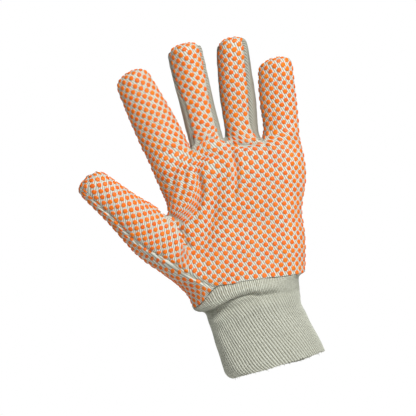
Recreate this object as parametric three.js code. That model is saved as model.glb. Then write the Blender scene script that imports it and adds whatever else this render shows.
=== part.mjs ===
// A cotton drill work glove for the left hand, with a knitted wrist, in millimetres.
// It keeps the form it has on a hand: the arm goes in from below along +Z, the palm faces -Y
// and the thumb points to -X. The origin is the middle of the open wrist.
import * as THREE from 'three';

// Driving dimensions
const cuffLength = 62; // open rim to the hem of the hand, measured at the little finger
const cuffWidth = 72;
const cuffDepth = 48;
const hemFlare = 17; // how much wider the hem is than the cuff
const hemWidth = cuffWidth + hemFlare;
const palmLength = 112; // hem to the fork of the fingers
const palmWidth = 110;
const palmDepth = 36;
const indexLength = 67.5;
const middleLength = 74.7;
const ringLength = 75.5;
const littleLength = 57;
const thumbLength = 65;
const clothThickness = 1.2;
const knitThickness = 1.6;
const ribHeight = 0.5;
const ribPitch = 2.2;
const seamGap = 0.4; // clear space between two sewn pieces
const digitDepthShare = 0.8; // a digit's depth as a share of its width

// Digits. Width, root and girth follow palmWidth, palmLength and palmDepth: the width and
// the root are shares of them, and the girth is a share of the width at each station. Lean
// and forward are degrees, and the seams are degrees round the section from its right side.
// Near the tip the seams turn to tipLeft and tipRight. Curl, tip shift and tip slope are
// shares of the width that grow towards the tip.
const digits = [
  { name: 'index', length: indexLength, width: 0.282, rootX: -0.264, rootZ: 1.018, rootY: 0,
    lean: -8.5, forward: 0, curl: 0.17, tipShift: 0, tipSlope: 0.05, seamLeft: 135, seamRight: 45,
    tipLeft: 135, tipRight: 45, girth: [1.07, 1.04, 0.96, 0.88, 0.68] },
  { name: 'middle', length: middleLength, width: 0.236, rootX: 0.004, rootZ: 1.018, rootY: 0,
    lean: 4.1, forward: 0, curl: 0.23, tipShift: 0.02, tipSlope: 0, seamLeft: 135, seamRight: 39,
    tipLeft: 178, tipRight: 10, girth: [0.99, 0.98, 0.97, 0.94, 0.82] },
  { name: 'ring', length: ringLength, width: 0.245, rootX: 0.25, rootZ: 0.96, rootY: 0,
    lean: 11.2, forward: 0, curl: 0.26, tipShift: 0.01, tipSlope: 0.1, seamLeft: 176,
    seamRight: 58, tipLeft: 180, tipRight: 48, girth: [0.94, 0.99, 0.96, 0.9, 0.75] },
  { name: 'little', length: littleLength, width: 0.255, rootX: 0.509, rootZ: 0.906, rootY: 0,
    lean: 11.6, forward: 0, curl: 0.21, tipShift: 0.04, tipSlope: 0.13, seamLeft: 137,
    seamRight: 45, tipLeft: 137, tipRight: 45, girth: [0.96, 0.98, 0.97, 0.93, 0.77] },
  { name: 'thumb', length: thumbLength, width: 0.291, rootX: -0.55, rootZ: 0.545, rootY: -0.25,
    lean: -31.6, forward: 16, curl: 0, tipShift: 0, tipSlope: -0.14, seamLeft: 130,
    seamRight: 45, tipLeft: 130, tipRight: 45, girth: [1.09, 0.95, 0.84, 0.76, 0.6] },
];
const digitStations = [0.11, 0.36, 0.62, 0.84, 0.95]; // shares of a digit's length
const tipStart = 0.5; // share of a digit's length where the tip's shift and slope begin
const seamTurn = [0.42, 0.84]; // shares of the length between which the seams turn to the tip's
const leastSideTurn = 24; // degrees from a seam round to the next point behind it

// Palm sections from the hem to the knuckles. Heights are shares of palmLength above the hem,
// at the thumb side, the middle and the little finger's side. The x places are shares of
// palmWidth, and the depths are shares of palmDepth in front of or behind the middle plane.
const palmSections = [
  { name: 'heel', z: [0.09, 0.145, 0.098], left: -0.45, corner: -0.4, crease: -0.31,
    right: 0.41, front: [0.58, 0.61, 0.5], back: 0.56 },
  { name: 'thumb_low', z: [0.268, 0.286, 0.241], left: -0.545, corner: -0.5, crease: -0.42,
    right: 0.453, front: [0.56, 0.56, 0.5], back: 0.5 },
  { name: 'thumb_middle', z: [0.43, 0.437, 0.393], left: -0.455, corner: -0.41, crease: -0.355,
    right: 0.484, front: [0.51, 0.5, 0.47], back: 0.486 },
  { name: 'thumb_top', z: [0.616, 0.607, 0.554], left: -0.386, corner: -0.4, crease: -0.341,
    right: 0.566, front: [0.417, 0.47, 0.44], back: 0.458 },
  { name: 'index_side', z: [0.777, 0.759, 0.705], left: -0.394, corner: -0.35, crease: -0.273,
    right: 0.606, front: [0.4, 0.43, 0.417], back: 0.417 },
  { name: 'knuckles', z: [0.902, 0.893, 0.813], left: -0.405, corner: -0.364, crease: -0.273,
    right: 0.615, front: [0.39, 0.39, 0.375], back: 0.39 },
];
const frontShares = [0, 0.165, 0.3, 0.425, 0.57, 0.7, 0.85, 0.95]; // from crease to right
const backShares = [0.05, 0.17, 0.29, 0.4, 0.51, 0.63, 0.74, 0.86, 0.955]; // left to right
const backArch = [0.62, 0.92, 0.98, 1, 1, 1, 0.98, 0.92, 0.62];

// The hem over the palm from the thumb side to the right. Its places are shares of
// hemWidth from the hem's middle and its heights are shares of palmLength above cuffLength.
const hemCentre = -0.04; // share of hemWidth
const hemFront = [
  { x: -0.415, z: -0.004 }, { x: -0.267, z: 0.067 }, { x: -0.153, z: 0.061 },
  { x: -0.051, z: 0.054 }, { x: 0.051, z: 0.04 }, { x: 0.165, z: 0.025 },
  { x: 0.267, z: 0.005 }, { x: 0.369, z: -0.011 }, { x: 0.449, z: -0.02 },
];
const hemSideHeight = -0.016;
const hemBackHeight = 0.017;

// Forks between the fingers and the outer edges of the knuckle row, on the same shares.
const forks = [
  { x: -0.114, z: 1.013 }, { x: 0.123, z: 0.996 }, { x: 0.368, z: 0.924 },
];
const fingerRoots = [
  { x: -0.273, z: 1.018 }, { x: 0.014, z: 1.031 }, { x: 0.25, z: 0.911 }, { x: 0.514, z: 0.902 },
];
const knuckleLeft = { side: -0.414, corner: -0.377, z: 1.009 };
const knuckleRight = { side: 0.625, corner: 0.59, z: 0.886 };
const rootDepth = 0.34; // share of palmDepth at the middle of a finger's root
const forkDepth = 0.24; // share of palmDepth at the fork's front and back corners
const forkDrop = 0.018; // share of palmLength by which those corners lie under the fork

// Ring of points where the thumb leaves the palm, on the shares of the palm. Each is the
// point of one column and one section of the palm.
const thumbRoot = [
  { column: 'F0', section: 'thumb_low', x: -0.595, z: 0.31, y: -0.2 },
  { column: 'F1', section: 'thumb_low', x: -0.445, z: 0.29, y: -0.56 },
  { column: 'F1', section: 'thumb_middle', x: -0.36, z: 0.41, y: -0.53 },
  { column: 'F1', section: 'thumb_top', x: -0.345, z: 0.575, y: -0.43 },
  { column: 'F0', section: 'thumb_top', x: -0.4, z: 0.625, y: -0.2 },
  { column: 'L', section: 'thumb_top', x: -0.386, z: 0.616, y: 0.12 },
  { column: 'L', section: 'thumb_middle', x: -0.455, z: 0.45, y: 0.26 },
  { column: 'L', section: 'thumb_low', x: -0.545, z: 0.31, y: 0.16 },
];

// Main folds of the palm: a line of points in shares of palmWidth and palmLength, with the
// fold's depth and half width in shares of palmDepth.
const folds = [
  { name: 'thumb_crease', depth: 0.07, reach: 0.1,
    line: [[-0.38, 0.61], [-0.345, 0.52], [-0.345, 0.44], [-0.33, 0.38]] },
  { name: 'index_root', depth: 0.035, reach: 0.1,
    line: [[-0.13, 0.98], [-0.17, 0.89], [-0.245, 0.83], [-0.37, 0.73]] },
  { name: 'index_arc', depth: 0.06, reach: 0.13,
    line: [[0.05, 0.905], [-0.05, 0.905], [-0.11, 0.84], [-0.13, 0.74], [-0.17, 0.67],
      [-0.24, 0.61], [-0.33, 0.58]] },
  { name: 'ring_fork', depth: 0.04, reach: 0.1,
    line: [[0.12, 0.98], [0.135, 0.87], [0.135, 0.78], [0.1, 0.69], [0.055, 0.6]] },
  { name: 'palm_hollow', depth: 0.05, reach: 0.22,
    line: [[0, 0.72], [-0.07, 0.61], [-0.12, 0.5], [-0.18, 0.4], [-0.255, 0.31], [-0.3, 0.25]] },
];

// Cuff sections from the open rim up. Heights are shares of cuffLength, centres and widths
// are shares of cuffWidth, depths are shares of cuffDepth and tilt is the slope to the left.
const cuffSections = [
  { name: 'rim', z: 0, centre: -0.02, width: 1.05, depth: 1.05, tilt: 0 },
  { name: 'above_rim', z: 0.13, centre: -0.032, width: 1.05, depth: 1.04, tilt: 0 },
  { name: 'low', z: 0.35, centre: -0.05, width: 1.015, depth: 1, tilt: 0 },
  { name: 'wrist', z: 0.6, centre: -0.062, width: 0.985, depth: 0.98, tilt: 0.01 },
  { name: 'under_fold', z: 0.73, centre: -0.058, width: 1.0, depth: 0.99, tilt: 0.05 },
  { name: 'fold', z: 0.815, centre: -0.058, width: 1.02, depth: 0.96, tilt: 0.06 },
  { name: 'roll', z: 0.925, centre: -0.078, width: 1.13, depth: 1.08, tilt: 0.01 },
];

// Names of the palm's columns, round the hand from the thumb side over the palm
const frontColumns = Array.from({ length: 9 }, (_, i) => `F${i}`);
const backColumns = Array.from({ length: 9 }, (_, i) => `B${8 - i}`);
const palmColumns = ['L', ...frontColumns, 'R', ...backColumns];
const rowOf = (name) => 1 + palmSections.findIndex((section) => section.name === name);
const fingerRing = (i) => [
  i === 0 ? 'L' : `W${i}`, `F${2 * i}`, `F${2 * i + 1}`, `F${2 * i + 2}`,
  i === 3 ? 'R' : `W${i + 1}`, `B${2 * i + 2}`, `B${2 * i + 1}`, `B${2 * i}`,
];
const knuckleRow = palmSections.length + 1;

// Value at t of the parabola through three values at 0, middle and 1
function parabola([a, b, c], middle, t) {
  const low = (t - middle) * (t - 1) / middle;
  const mid = t * (t - 1) / (middle * (middle - 1));
  const high = t * (t - middle) / (1 - middle);
  return a * low + b * mid + c * high;
}

const palmHeight = (share) => cuffLength + share * palmLength;

function hemPoint(x, z, front) {
  const along = Math.min(1, Math.abs(2 * x));
  const depth = cuffDepth * 0.5 * Math.sqrt(1 - along * along);
  return new THREE.Vector3((x + hemCentre) * hemWidth, front ? -depth : depth, palmHeight(z));
}

// Points of one row of the palm, by column name
function hemRow() {
  const row = { L: hemPoint(-0.5, hemSideHeight, true), R: hemPoint(0.5, hemSideHeight, true) };
  hemFront.forEach(({ x, z }, i) => {
    row[`F${i}`] = hemPoint(x, z, true);
    row[`B${i}`] = hemPoint(x, hemBackHeight, false);
  });
  return row;
}

function palmRow(section) {
  const { z, left, corner, crease, right, front, back } = section;
  const at = (x, depth) => {
    const share = (x - left) / (right - left);
    const height = palmHeight(parabola(z, 0.5, share));
    return new THREE.Vector3(x * palmWidth, depth * palmDepth, height);
  };
  const row = { L: at(left, 0), R: at(right, 0), F0: at(corner, -0.66 * front[0]) };
  frontShares.forEach((share, i) => {
    const depth = i === 7 ? 0.62 * front[2] : parabola(front, 0.5, share / frontShares[6]);
    row[`F${i + 1}`] = at(crease + (right - crease) * share, -depth);
  });
  backShares.forEach((share, i) => {
    row[`B${i}`] = at(left + (right - left) * share, back * backArch[i]);
  });
  return row;
}

function knucklePoints() {
  const at = (x, depth, z) => new THREE.Vector3(x * palmWidth, depth * palmDepth, palmHeight(z));
  const row = {
    L: at(knuckleLeft.side, 0, knuckleLeft.z),
    F0: at(knuckleLeft.corner, -forkDepth, knuckleLeft.z),
    B0: at(knuckleLeft.corner, forkDepth, knuckleLeft.z),
    R: at(knuckleRight.side, 0, knuckleRight.z),
    F8: at(knuckleRight.corner, -forkDepth, knuckleRight.z),
    B8: at(knuckleRight.corner, forkDepth, knuckleRight.z),
  };
  forks.forEach(({ x, z }, i) => {
    row[`W${i + 1}`] = at(x, 0, z);
    row[`F${2 * i + 2}`] = at(x, -forkDepth, z - forkDrop);
    row[`B${2 * i + 2}`] = at(x, forkDepth, z - forkDrop);
  });
  fingerRoots.forEach(({ x, z }, i) => {
    row[`F${2 * i + 1}`] = at(x, -rootDepth, z);
    row[`B${2 * i + 1}`] = at(x, rootDepth, z);
  });
  return row;
}

// A digit's own axes: along it, to its right and to its front
function digitFrame(digit) {
  const lean = THREE.MathUtils.degToRad(digit.lean);
  const forward = THREE.MathUtils.degToRad(digit.forward);
  const along = new THREE.Vector3(
    Math.sin(lean) * Math.cos(forward), -Math.sin(forward), Math.cos(lean) * Math.cos(forward));
  const right = new THREE.Vector3(Math.cos(lean), 0, -Math.sin(lean));
  const front = new THREE.Vector3().crossVectors(right, along);
  const root = new THREE.Vector3(
    digit.rootX * palmWidth, digit.rootY * palmDepth, palmHeight(digit.rootZ));
  return { along, right, front, root };
}

// How strongly a place along a digit follows the shift and slope of its tip
const tipWeight = (share) => (Math.max(0, share - tipStart) / (1 - tipStart)) ** 2;

function digitCentre(digit, share) {
  const { along, right, front, root } = digitFrame(digit);
  const width = digit.width * palmWidth;
  return root.clone().addScaledVector(along, share * digit.length)
    .addScaledVector(front, digit.curl * width * share * share)
    .addScaledVector(right, digit.tipShift * width * tipWeight(share));
}

// Eight points round a digit's section: left, front left, front, front right, right and
// the same behind. Their angles follow the two seams.
function digitRing(digit, share, girth) {
  const { along, right, front } = digitFrame(digit);
  const centre = digitCentre(digit, share);
  const t = THREE.MathUtils.smoothstep(share, seamTurn[0], seamTurn[1]);
  const left = THREE.MathUtils.lerp(digit.seamLeft, digit.tipLeft, t);
  const rightSeam = THREE.MathUtils.lerp(digit.seamRight, digit.tipRight, t);
  const turn = Math.max(leastSideTurn, 90 - (left - rightSeam) / 2);
  const step = (360 - (left - rightSeam) - 2 * turn) / 4;
  const behind = rightSeam - turn;
  const angles = [left + turn, left, (left + rightSeam) / 2, rightSeam, behind,
    behind - step, behind - 2 * step, behind - 3 * step];
  const halfWidth = 0.5 * digit.width * palmWidth * girth;
  return angles.map((degrees) => {
    const angle = THREE.MathUtils.degToRad(degrees);
    const side = halfWidth * Math.cos(angle);
    return centre.clone()
      .addScaledVector(right, side)
      .addScaledVector(along, digit.tipSlope * side * tipWeight(share))
      .addScaledVector(front, halfWidth * digitDepthShare * Math.sin(angle));
  });
}

// The cage: named points that the cloth passes through, and four-sided faces between them
function buildCage() {
  const names = new Map();
  const points = [];
  const faces = [];
  const add = (name, point) => {
    names.set(name, points.length);
    points.push(point);
  };
  const face = (panel, ...corners) => {
    faces.push({ panel, v: corners.map((name) => names.get(name)) });
  };
  const rows = [hemRow(), ...palmSections.map(palmRow), knucklePoints()];
  thumbRoot.forEach(({ column, section, x, z, y }) => {
    const point = new THREE.Vector3(x * palmWidth, y * palmDepth, palmHeight(z));
    rows[rowOf(section)][column] = point;
  });
  const holeStart = rowOf('thumb_low');
  const holeEnd = rowOf('thumb_top');
  delete rows[rowOf('thumb_middle')].F0;
  rows.forEach((row, r) => {
    for (const [column, point] of Object.entries(row)) add(`${column}.${r}`, point);
  });

  for (let r = 0; r < knuckleRow; r++) {
    palmColumns.forEach((column, c) => {
      const next = palmColumns[(c + 1) % palmColumns.length];
      const nearThumb = column === 'L' || column === 'F0';
      if (nearThumb && r >= holeStart && r < holeEnd) return;
      let panel = column[0] === 'B' || column === 'R' ? 'back_panel' : 'palm_panel';
      if (nearThumb && r < holeStart) panel = 'thumb_back';
      face(panel, `${column}.${r}`, `${next}.${r}`, `${next}.${r + 1}`, `${column}.${r + 1}`);
    });
  }
  digits.forEach((digit, d) => {
    const isThumb = digit.name === 'thumb';
    let ring = isThumb ? thumbRoot.map(({ column, section }) => `${column}.${rowOf(section)}`)
      : fingerRing(d).map((column) => `${column}.${knuckleRow}`);
    const panels = digitPanels(digit.name);
    digitStations.forEach((share, s) => {
      const next = ring.map((_, k) => `${digit.name}.${s}.${k}`);
      digitRing(digit, share, digit.girth[s]).forEach((point, k) => add(next[k], point));
      next.forEach((_, k) => {
        const after = (k + 1) % next.length;
        face(panels[k], ring[k], ring[after], next[after], next[k]);
      });
      ring = next;
    });
    const tip = `${digit.name}.tip`;
    add(tip, digitCentre(digit, 1));
    const frontPanel = panels[1];
    const backPanel = panels[5];
    face(frontPanel, ring[0], ring[1], ring[2], tip);
    face(frontPanel, tip, ring[2], ring[3], ring[4]);
    face(backPanel, tip, ring[4], ring[5], ring[6]);
    face(backPanel, tip, ring[6], ring[7], ring[0]);
  });
  return { points, faces };
}

// Which sewn piece each of the eight faces round a digit belongs to
function digitPanels(name) {
  const sides = (front, left, right, back) => [left, front, front, right, back, back, back, back];
  if (name === 'middle' || name === 'ring') {
    return sides(`${name}_front`, 'back_panel', 'back_panel', 'back_panel');
  }
  if (name === 'thumb') {
    return ['thumb_back', 'palm_panel', 'palm_panel', 'palm_panel', 'palm_panel',
      'thumb_back', 'thumb_back', 'thumb_back'];
  }
  return sides('palm_panel', 'palm_panel', 'palm_panel', 'back_panel');
}

const edgeKey = (a, b) => (a < b ? `${a}_${b}` : `${b}_${a}`);

// Neighbours of every point, and which edges lie on the open hem
function connect(mesh) {
  const edges = new Map();
  mesh.faces.forEach((face, f) => {
    face.v.forEach((a, k) => {
      const b = face.v[(k + 1) % 4];
      const key = edgeKey(a, b);
      if (!edges.has(key)) edges.set(key, { a, b, faces: [] });
      edges.get(key).faces.push(f);
    });
  });
  const spokes = mesh.points.map(() => []);
  const rims = mesh.points.map(() => []);
  const diagonals = mesh.points.map(() => []);
  for (const { a, b, faces } of edges.values()) {
    spokes[a].push(b);
    spokes[b].push(a);
    if (faces.length === 1) {
      rims[a].push(b);
      rims[b].push(a);
    }
  }
  mesh.faces.forEach(({ v }) => v.forEach((a, k) => diagonals[a].push(v[(k + 2) % 4])));
  return { edges, spokes, rims, diagonals };
}

function sum(points, indices) {
  return indices.reduce((total, i) => total.add(points[i]), new THREE.Vector3());
}

// Where every point ends up on the smooth surface of repeated subdivision
function limitPoints(mesh, links = connect(mesh)) {
  return mesh.points.map((point, i) => {
    const rim = links.rims[i];
    if (rim.length) return sum(mesh.points, rim).addScaledVector(point, 4).divideScalar(6);
    const n = links.spokes[i].length;
    return point.clone().multiplyScalar(n * n)
      .addScaledVector(sum(mesh.points, links.spokes[i]), 4)
      .add(sum(mesh.points, links.diagonals[i]))
      .divideScalar(n * (n + 5));
  });
}

// Moves the cage's points until the smooth surface passes through the given places
function fitThrough(mesh, rounds = 12) {
  const targets = mesh.points.map((point) => point.clone());
  const links = connect(mesh);
  for (let round = 0; round < rounds; round++) {
    limitPoints(mesh, links).forEach((limit, i) => {
      mesh.points[i].add(targets[i].clone().sub(limit));
    });
  }
  return mesh;
}

// One step of Catmull-Clark subdivision
function subdivide(mesh) {
  const { edges, spokes, rims } = connect(mesh);
  const faceCentres = mesh.faces.map(({ v }) => sum(mesh.points, v).divideScalar(4));
  const around = mesh.points.map(() => new THREE.Vector3());
  mesh.faces.forEach(({ v }, f) => v.forEach((i) => around[i].add(faceCentres[f])));
  const points = mesh.points.map((point, i) => {
    if (rims[i].length) {
      return sum(mesh.points, rims[i]).addScaledVector(point, 6).divideScalar(8);
    }
    const n = spokes[i].length;
    return point.clone().multiplyScalar(n * (n - 2))
      .add(sum(mesh.points, spokes[i])).add(around[i]).divideScalar(n * n);
  });
  const facePoint = faceCentres.map((centre) => points.push(centre) - 1);
  const edgePoint = new Map();
  for (const [key, { a, b, faces }] of edges) {
    const middle = mesh.points[a].clone().add(mesh.points[b]);
    if (faces.length === 2) {
      middle.add(faceCentres[faces[0]]).add(faceCentres[faces[1]]).divideScalar(4);
    } else middle.divideScalar(2);
    edgePoint.set(key, points.push(middle) - 1);
  }
  const faces = mesh.faces.flatMap(({ v, panel }, f) => v.map((a, k) => {
    const after = edgePoint.get(edgeKey(a, v[(k + 1) % 4]));
    const before = edgePoint.get(edgeKey(a, v[(k + 3) % 4]));
    return { panel, v: [a, after, facePoint[f], before] };
  }));
  return { points, faces };
}

function normalsOf(points, faces) {
  const normals = points.map(() => new THREE.Vector3());
  faces.forEach(({ v: [a, b, c, d] }) => {
    const one = points[c].clone().sub(points[a]);
    const other = points[d].clone().sub(points[b]);
    const normal = one.cross(other);
    [a, b, c, d].forEach((i) => normals[i].add(normal));
  });
  return normals.map((normal) => normal.normalize());
}

// How far the palm's folds pull the cloth in at a place in the front view
function foldDepth(x, z) {
  let depth = 0;
  for (const fold of folds) {
    const curve = new THREE.SplineCurve(fold.line.map(
      ([fx, fz]) => new THREE.Vector2(fx * palmWidth, palmHeight(fz))));
    const place = new THREE.Vector2(x, z);
    const steps = 24;
    let nearest = Infinity;
    let share = 0;
    for (let i = 0; i <= steps; i++) {
      const distance = curve.getPoint(i / steps).distanceTo(place);
      if (distance < nearest) {
        nearest = distance;
        share = i / steps;
      }
    }
    const t = nearest / (fold.reach * palmDepth);
    const fade = Math.sqrt(Math.sin(Math.PI * (0.08 + 0.84 * share)));
    depth += fold.depth * palmDepth * fade * (1 - 0.8 * t * t) * Math.exp(-t * t);
  }
  return depth;
}

// The smooth outer face of the hand, with its folds
function handSurface() {
  const mesh = subdivide(fitThrough(buildCage()));
  const points = limitPoints(mesh);
  const smooth = normalsOf(points, mesh.faces);
  points.forEach((point, i) => {
    const facing = Math.max(0, -smooth[i].y);
    if (facing > 0.3 && point.z < palmHeight(1)) {
      point.addScaledVector(smooth[i], -foldDepth(point.x, point.z) * facing);
    }
  });
  return { points, faces: mesh.faces, normals: normalsOf(points, mesh.faces) };
}

function geometryOf(points, triangles) {
  const geometry = new THREE.BufferGeometry();
  geometry.setAttribute('position', new THREE.Float32BufferAttribute(
    points.flatMap((point) => [point.x, point.y, point.z]), 3));
  geometry.setIndex(triangles.flat());
  geometry.computeVertexNormals();
  return geometry;
}

// One sewn piece: its faces with an outer and an inner skin, its edges drawn back by half
// of the seam's gap and closed by a rim
function sheetGeometry(surface, panel, thickness) {
  const faces = surface.faces.filter((face) => face.panel === panel);
  const used = [...new Set(faces.flatMap(({ v }) => v))];
  const place = new Map(used.map((i, k) => [i, k]));
  const open = new Map();
  faces.forEach(({ v }) => v.forEach((a, k) => {
    const b = v[(k + 1) % 4];
    if (open.has(edgeKey(a, b))) open.delete(edgeKey(a, b));
    else open.set(edgeKey(a, b), [a, b]);
  }));
  const onEdge = new Set([...open.values()].flat());
  const inward = new Map(used.map((i) => [i, new THREE.Vector3()]));
  faces.forEach(({ v }) => {
    const centre = sum(surface.points, v).divideScalar(4);
    v.forEach((i) => inward.get(i).add(centre.clone().sub(surface.points[i]).normalize()));
  });
  const outer = used.map((i) => {
    const point = surface.points[i].clone();
    if (!onEdge.has(i)) return point;
    const pull = inward.get(i);
    pull.addScaledVector(surface.normals[i], -pull.dot(surface.normals[i])).normalize();
    return point.addScaledVector(pull, 0.65 * seamGap);
  });
  const inner = used.map((i, k) => outer[k].clone().addScaledVector(surface.normals[i], -thickness));
  const triangles = [];
  const quad = (a, b, c, d) => triangles.push([a, b, c], [a, c, d]);
  const n = used.length;
  faces.forEach(({ v }) => {
    const [a, b, c, d] = v.map((i) => place.get(i));
    quad(a, b, c, d);
    quad(d + n, c + n, b + n, a + n);
  });
  for (const [a, b] of open.values()) {
    quad(place.get(a), place.get(a) + n, place.get(b) + n, place.get(b));
  }
  return geometryOf([...outer, ...inner], triangles);
}

// The hem as a closed line of points, from the left side round over the palm
function hemLine(surface) {
  const after = new Map();
  const open = new Map();
  surface.faces.forEach(({ v }) => v.forEach((a, k) => {
    const b = v[(k + 1) % 4];
    if (open.has(edgeKey(a, b))) open.delete(edgeKey(a, b));
    else open.set(edgeKey(a, b), [a, b]);
  }));
  for (const [a, b] of open.values()) after.set(a, b);
  const first = [...after.keys()].reduce((best, i) => (
    surface.points[i].x < surface.points[best].x ? i : best));
  const line = [first];
  while (after.get(line.at(-1)) !== first) line.push(after.get(line.at(-1)));
  return line.map((i) => surface.points[i]);
}

// Columns round the cuff: two for each rib outside, and one for two ribs on the plain inside
function cuffColumns() {
  const a = 0.5 * cuffWidth;
  const b = 0.5 * cuffDepth;
  const perimeter = Math.PI * (3 * (a + b) - Math.sqrt((3 * a + b) * (a + 3 * b)));
  const inner = Math.round(perimeter / (2 * ribPitch));
  return { inner, outer: 4 * inner };
}

// Where a closed line of points passes a turn round its own middle, the left side being 0.
// The turn is taken as on an ellipse, so that the ribs run straight up to the line.
function atTurn(line, turn) {
  const box = new THREE.Box3().setFromPoints(line);
  const middle = box.getCenter(new THREE.Vector3());
  const size = box.getSize(new THREE.Vector3());
  const full = 2 * Math.PI;
  const wrap = (angle) => ((angle % full) + full) % full;
  const turnOf = ({ x, y }) => wrap(Math.atan2((middle.y - y) / size.y, (middle.x - x) / size.x));
  const stops = line.map((point) => ({ point, turn: turnOf(point) }))
    .sort((one, other) => one.turn - other.turn);
  const above = stops.findIndex((stop) => stop.turn > turn);
  const high = above === -1 ? stops[0] : stops[above];
  const low = above > 0 ? stops[above - 1] : stops.at(-1);
  const share = wrap(turn - low.turn) / wrap(high.turn - low.turn);
  return low.point.clone().lerp(high.point, share);
}

// A ring of the cuff at one section, drawn in by a length, with ribs if asked for
function cuffRing(section, columns, inset, ribs) {
  return Array.from({ length: columns }, (_, i) => {
    const turn = (2 * Math.PI * i) / columns;
    const groove = inset + (ribs && i % 2 ? ribHeight : 0);
    const halfWidth = 0.5 * section.width * cuffWidth - groove;
    const halfDepth = 0.5 * section.depth * cuffDepth - groove;
    const x = section.centre * cuffWidth - halfWidth * Math.cos(turn);
    const z = section.z * cuffLength - section.tilt * x;
    return new THREE.Vector3(x, -halfDepth * Math.sin(turn), z);
  });
}

// The cuff's top ring, which meets the hem across the seam's gap
function cuffTop(line, columns, inset, ribs) {
  const middle = new THREE.Box3().setFromPoints(line).getCenter(new THREE.Vector3());
  return Array.from({ length: columns }, (_, i) => {
    const point = atTurn(line, (2 * Math.PI * i) / columns);
    const outward = new THREE.Vector3(point.x - middle.x, point.y - middle.y, 0).normalize();
    point.addScaledVector(outward, -inset - (ribs && i % 2 ? ribHeight : 0));
    point.z -= seamGap;
    return point;
  });
}

function cuffGeometry(surface) {
  const line = hemLine(surface);
  const columns = cuffColumns();
  const step = columns.outer / columns.inner;
  const wall = knitThickness + ribHeight;
  const outer = cuffSections.map((section) => cuffRing(section, columns.outer, 0, true));
  outer.push(cuffTop(line, columns.outer, 0, true));
  const inner = cuffSections.map((section) => cuffRing(section, columns.inner, wall, false));
  inner.push(cuffTop(line, columns.inner, wall, false));
  const outerIndex = (row, i) => row * columns.outer + (i % columns.outer);
  const innerStart = outer.length * columns.outer;
  const innerIndex = (row, i) => innerStart + row * columns.inner + (i % columns.inner);
  const triangles = [];
  const quad = (a, b, c, d) => triangles.push([a, b, c], [a, c, d]);
  const top = outer.length - 1;
  for (let row = 0; row < top; row++) {
    for (let i = 0; i < columns.outer; i++) {
      quad(outerIndex(row, i), outerIndex(row, i + 1), outerIndex(row + 1, i + 1),
        outerIndex(row + 1, i));
    }
    for (let i = 0; i < columns.inner; i++) {
      quad(innerIndex(row, i), innerIndex(row + 1, i), innerIndex(row + 1, i + 1),
        innerIndex(row, i + 1));
    }
  }
  for (let i = 0; i < columns.inner; i++) {
    for (let k = 0; k < step; k++) {
      const from = i * step + k;
      const near = k < step / 2 ? i : i + 1;
      triangles.push([outerIndex(0, from + 1), outerIndex(0, from), innerIndex(0, near)]);
      triangles.push([outerIndex(top, from), outerIndex(top, from + 1), innerIndex(top, near)]);
    }
    const middle = i * step + step / 2;
    triangles.push([innerIndex(0, i), innerIndex(0, i + 1), outerIndex(0, middle)]);
    triangles.push([innerIndex(top, i + 1), innerIndex(top, i), outerIndex(top, middle)]);
  }
  return geometryOf([...outer.flat(), ...inner.flat()], triangles);
}

// Finishes
const dottedCloth = new THREE.MeshStandardMaterial({ color: '#e0a67e', roughness: 0.85, metalness: 0 });
const plainCloth = new THREE.MeshStandardMaterial({ color: '#c3c1b2', roughness: 0.95, metalness: 0 });
const ribKnit = new THREE.MeshStandardMaterial({ color: '#b9b8a6', roughness: 0.97, metalness: 0 });

const surface = handSurface();
const glove = new THREE.Group();

function sew(name, geometry, material) {
  const mesh = new THREE.Mesh(geometry, material);
  mesh.name = name;
  glove.add(mesh);
}

sew('palm_panel', sheetGeometry(surface, 'palm_panel', clothThickness), dottedCloth);
sew('middle_front', sheetGeometry(surface, 'middle_front', clothThickness), dottedCloth);
sew('ring_front', sheetGeometry(surface, 'ring_front', clothThickness), dottedCloth);
sew('thumb_back', sheetGeometry(surface, 'thumb_back', clothThickness), dottedCloth);
sew('back_panel', sheetGeometry(surface, 'back_panel', clothThickness), plainCloth);
sew('knit_cuff', cuffGeometry(surface), ribKnit);

export default glove;
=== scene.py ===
# %% [markdown]
# # A dotted cotton work glove in Blender
# The glove is cut from heavy twilled cotton, called drill, and sewn inside out. Its palm side
# carries rows of soft plastic dots for grip, and a rib-knit tube closes it round the wrist.
# This lesson takes the CAD model as a fixed frame and dresses it: the same smooth surface is
# built again much finer, cut into the sewn panels, and given weave, folds, seams and dots.

# %% Load the frame
import math

import bpy
import numpy as np
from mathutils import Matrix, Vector, noise
from mathutils.bvhtree import BVHTree
from mathutils.kdtree import KDTree


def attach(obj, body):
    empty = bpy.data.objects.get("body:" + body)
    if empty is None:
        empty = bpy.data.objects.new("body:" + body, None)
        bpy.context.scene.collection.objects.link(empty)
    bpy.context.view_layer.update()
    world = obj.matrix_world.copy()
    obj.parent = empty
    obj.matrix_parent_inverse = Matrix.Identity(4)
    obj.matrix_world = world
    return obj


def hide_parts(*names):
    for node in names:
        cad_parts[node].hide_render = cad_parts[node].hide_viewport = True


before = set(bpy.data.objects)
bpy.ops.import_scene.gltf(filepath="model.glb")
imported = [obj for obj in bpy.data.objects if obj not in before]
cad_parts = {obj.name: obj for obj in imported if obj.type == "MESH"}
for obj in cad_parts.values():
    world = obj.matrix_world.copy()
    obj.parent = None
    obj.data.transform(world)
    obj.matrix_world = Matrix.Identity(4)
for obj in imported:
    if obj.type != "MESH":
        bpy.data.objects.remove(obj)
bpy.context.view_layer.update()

MM = 0.001

# %% [markdown]
# ## The form on the hand
# A worn glove is one smooth surface with five tubes. Subdivision surfaces suit that well: a
# coarse cage of four-sided faces is rounded by Blender's Subdivision modifier. The cage here
# repeats the CAD model's named sizes, in millimetres, so that both have the same form.

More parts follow.
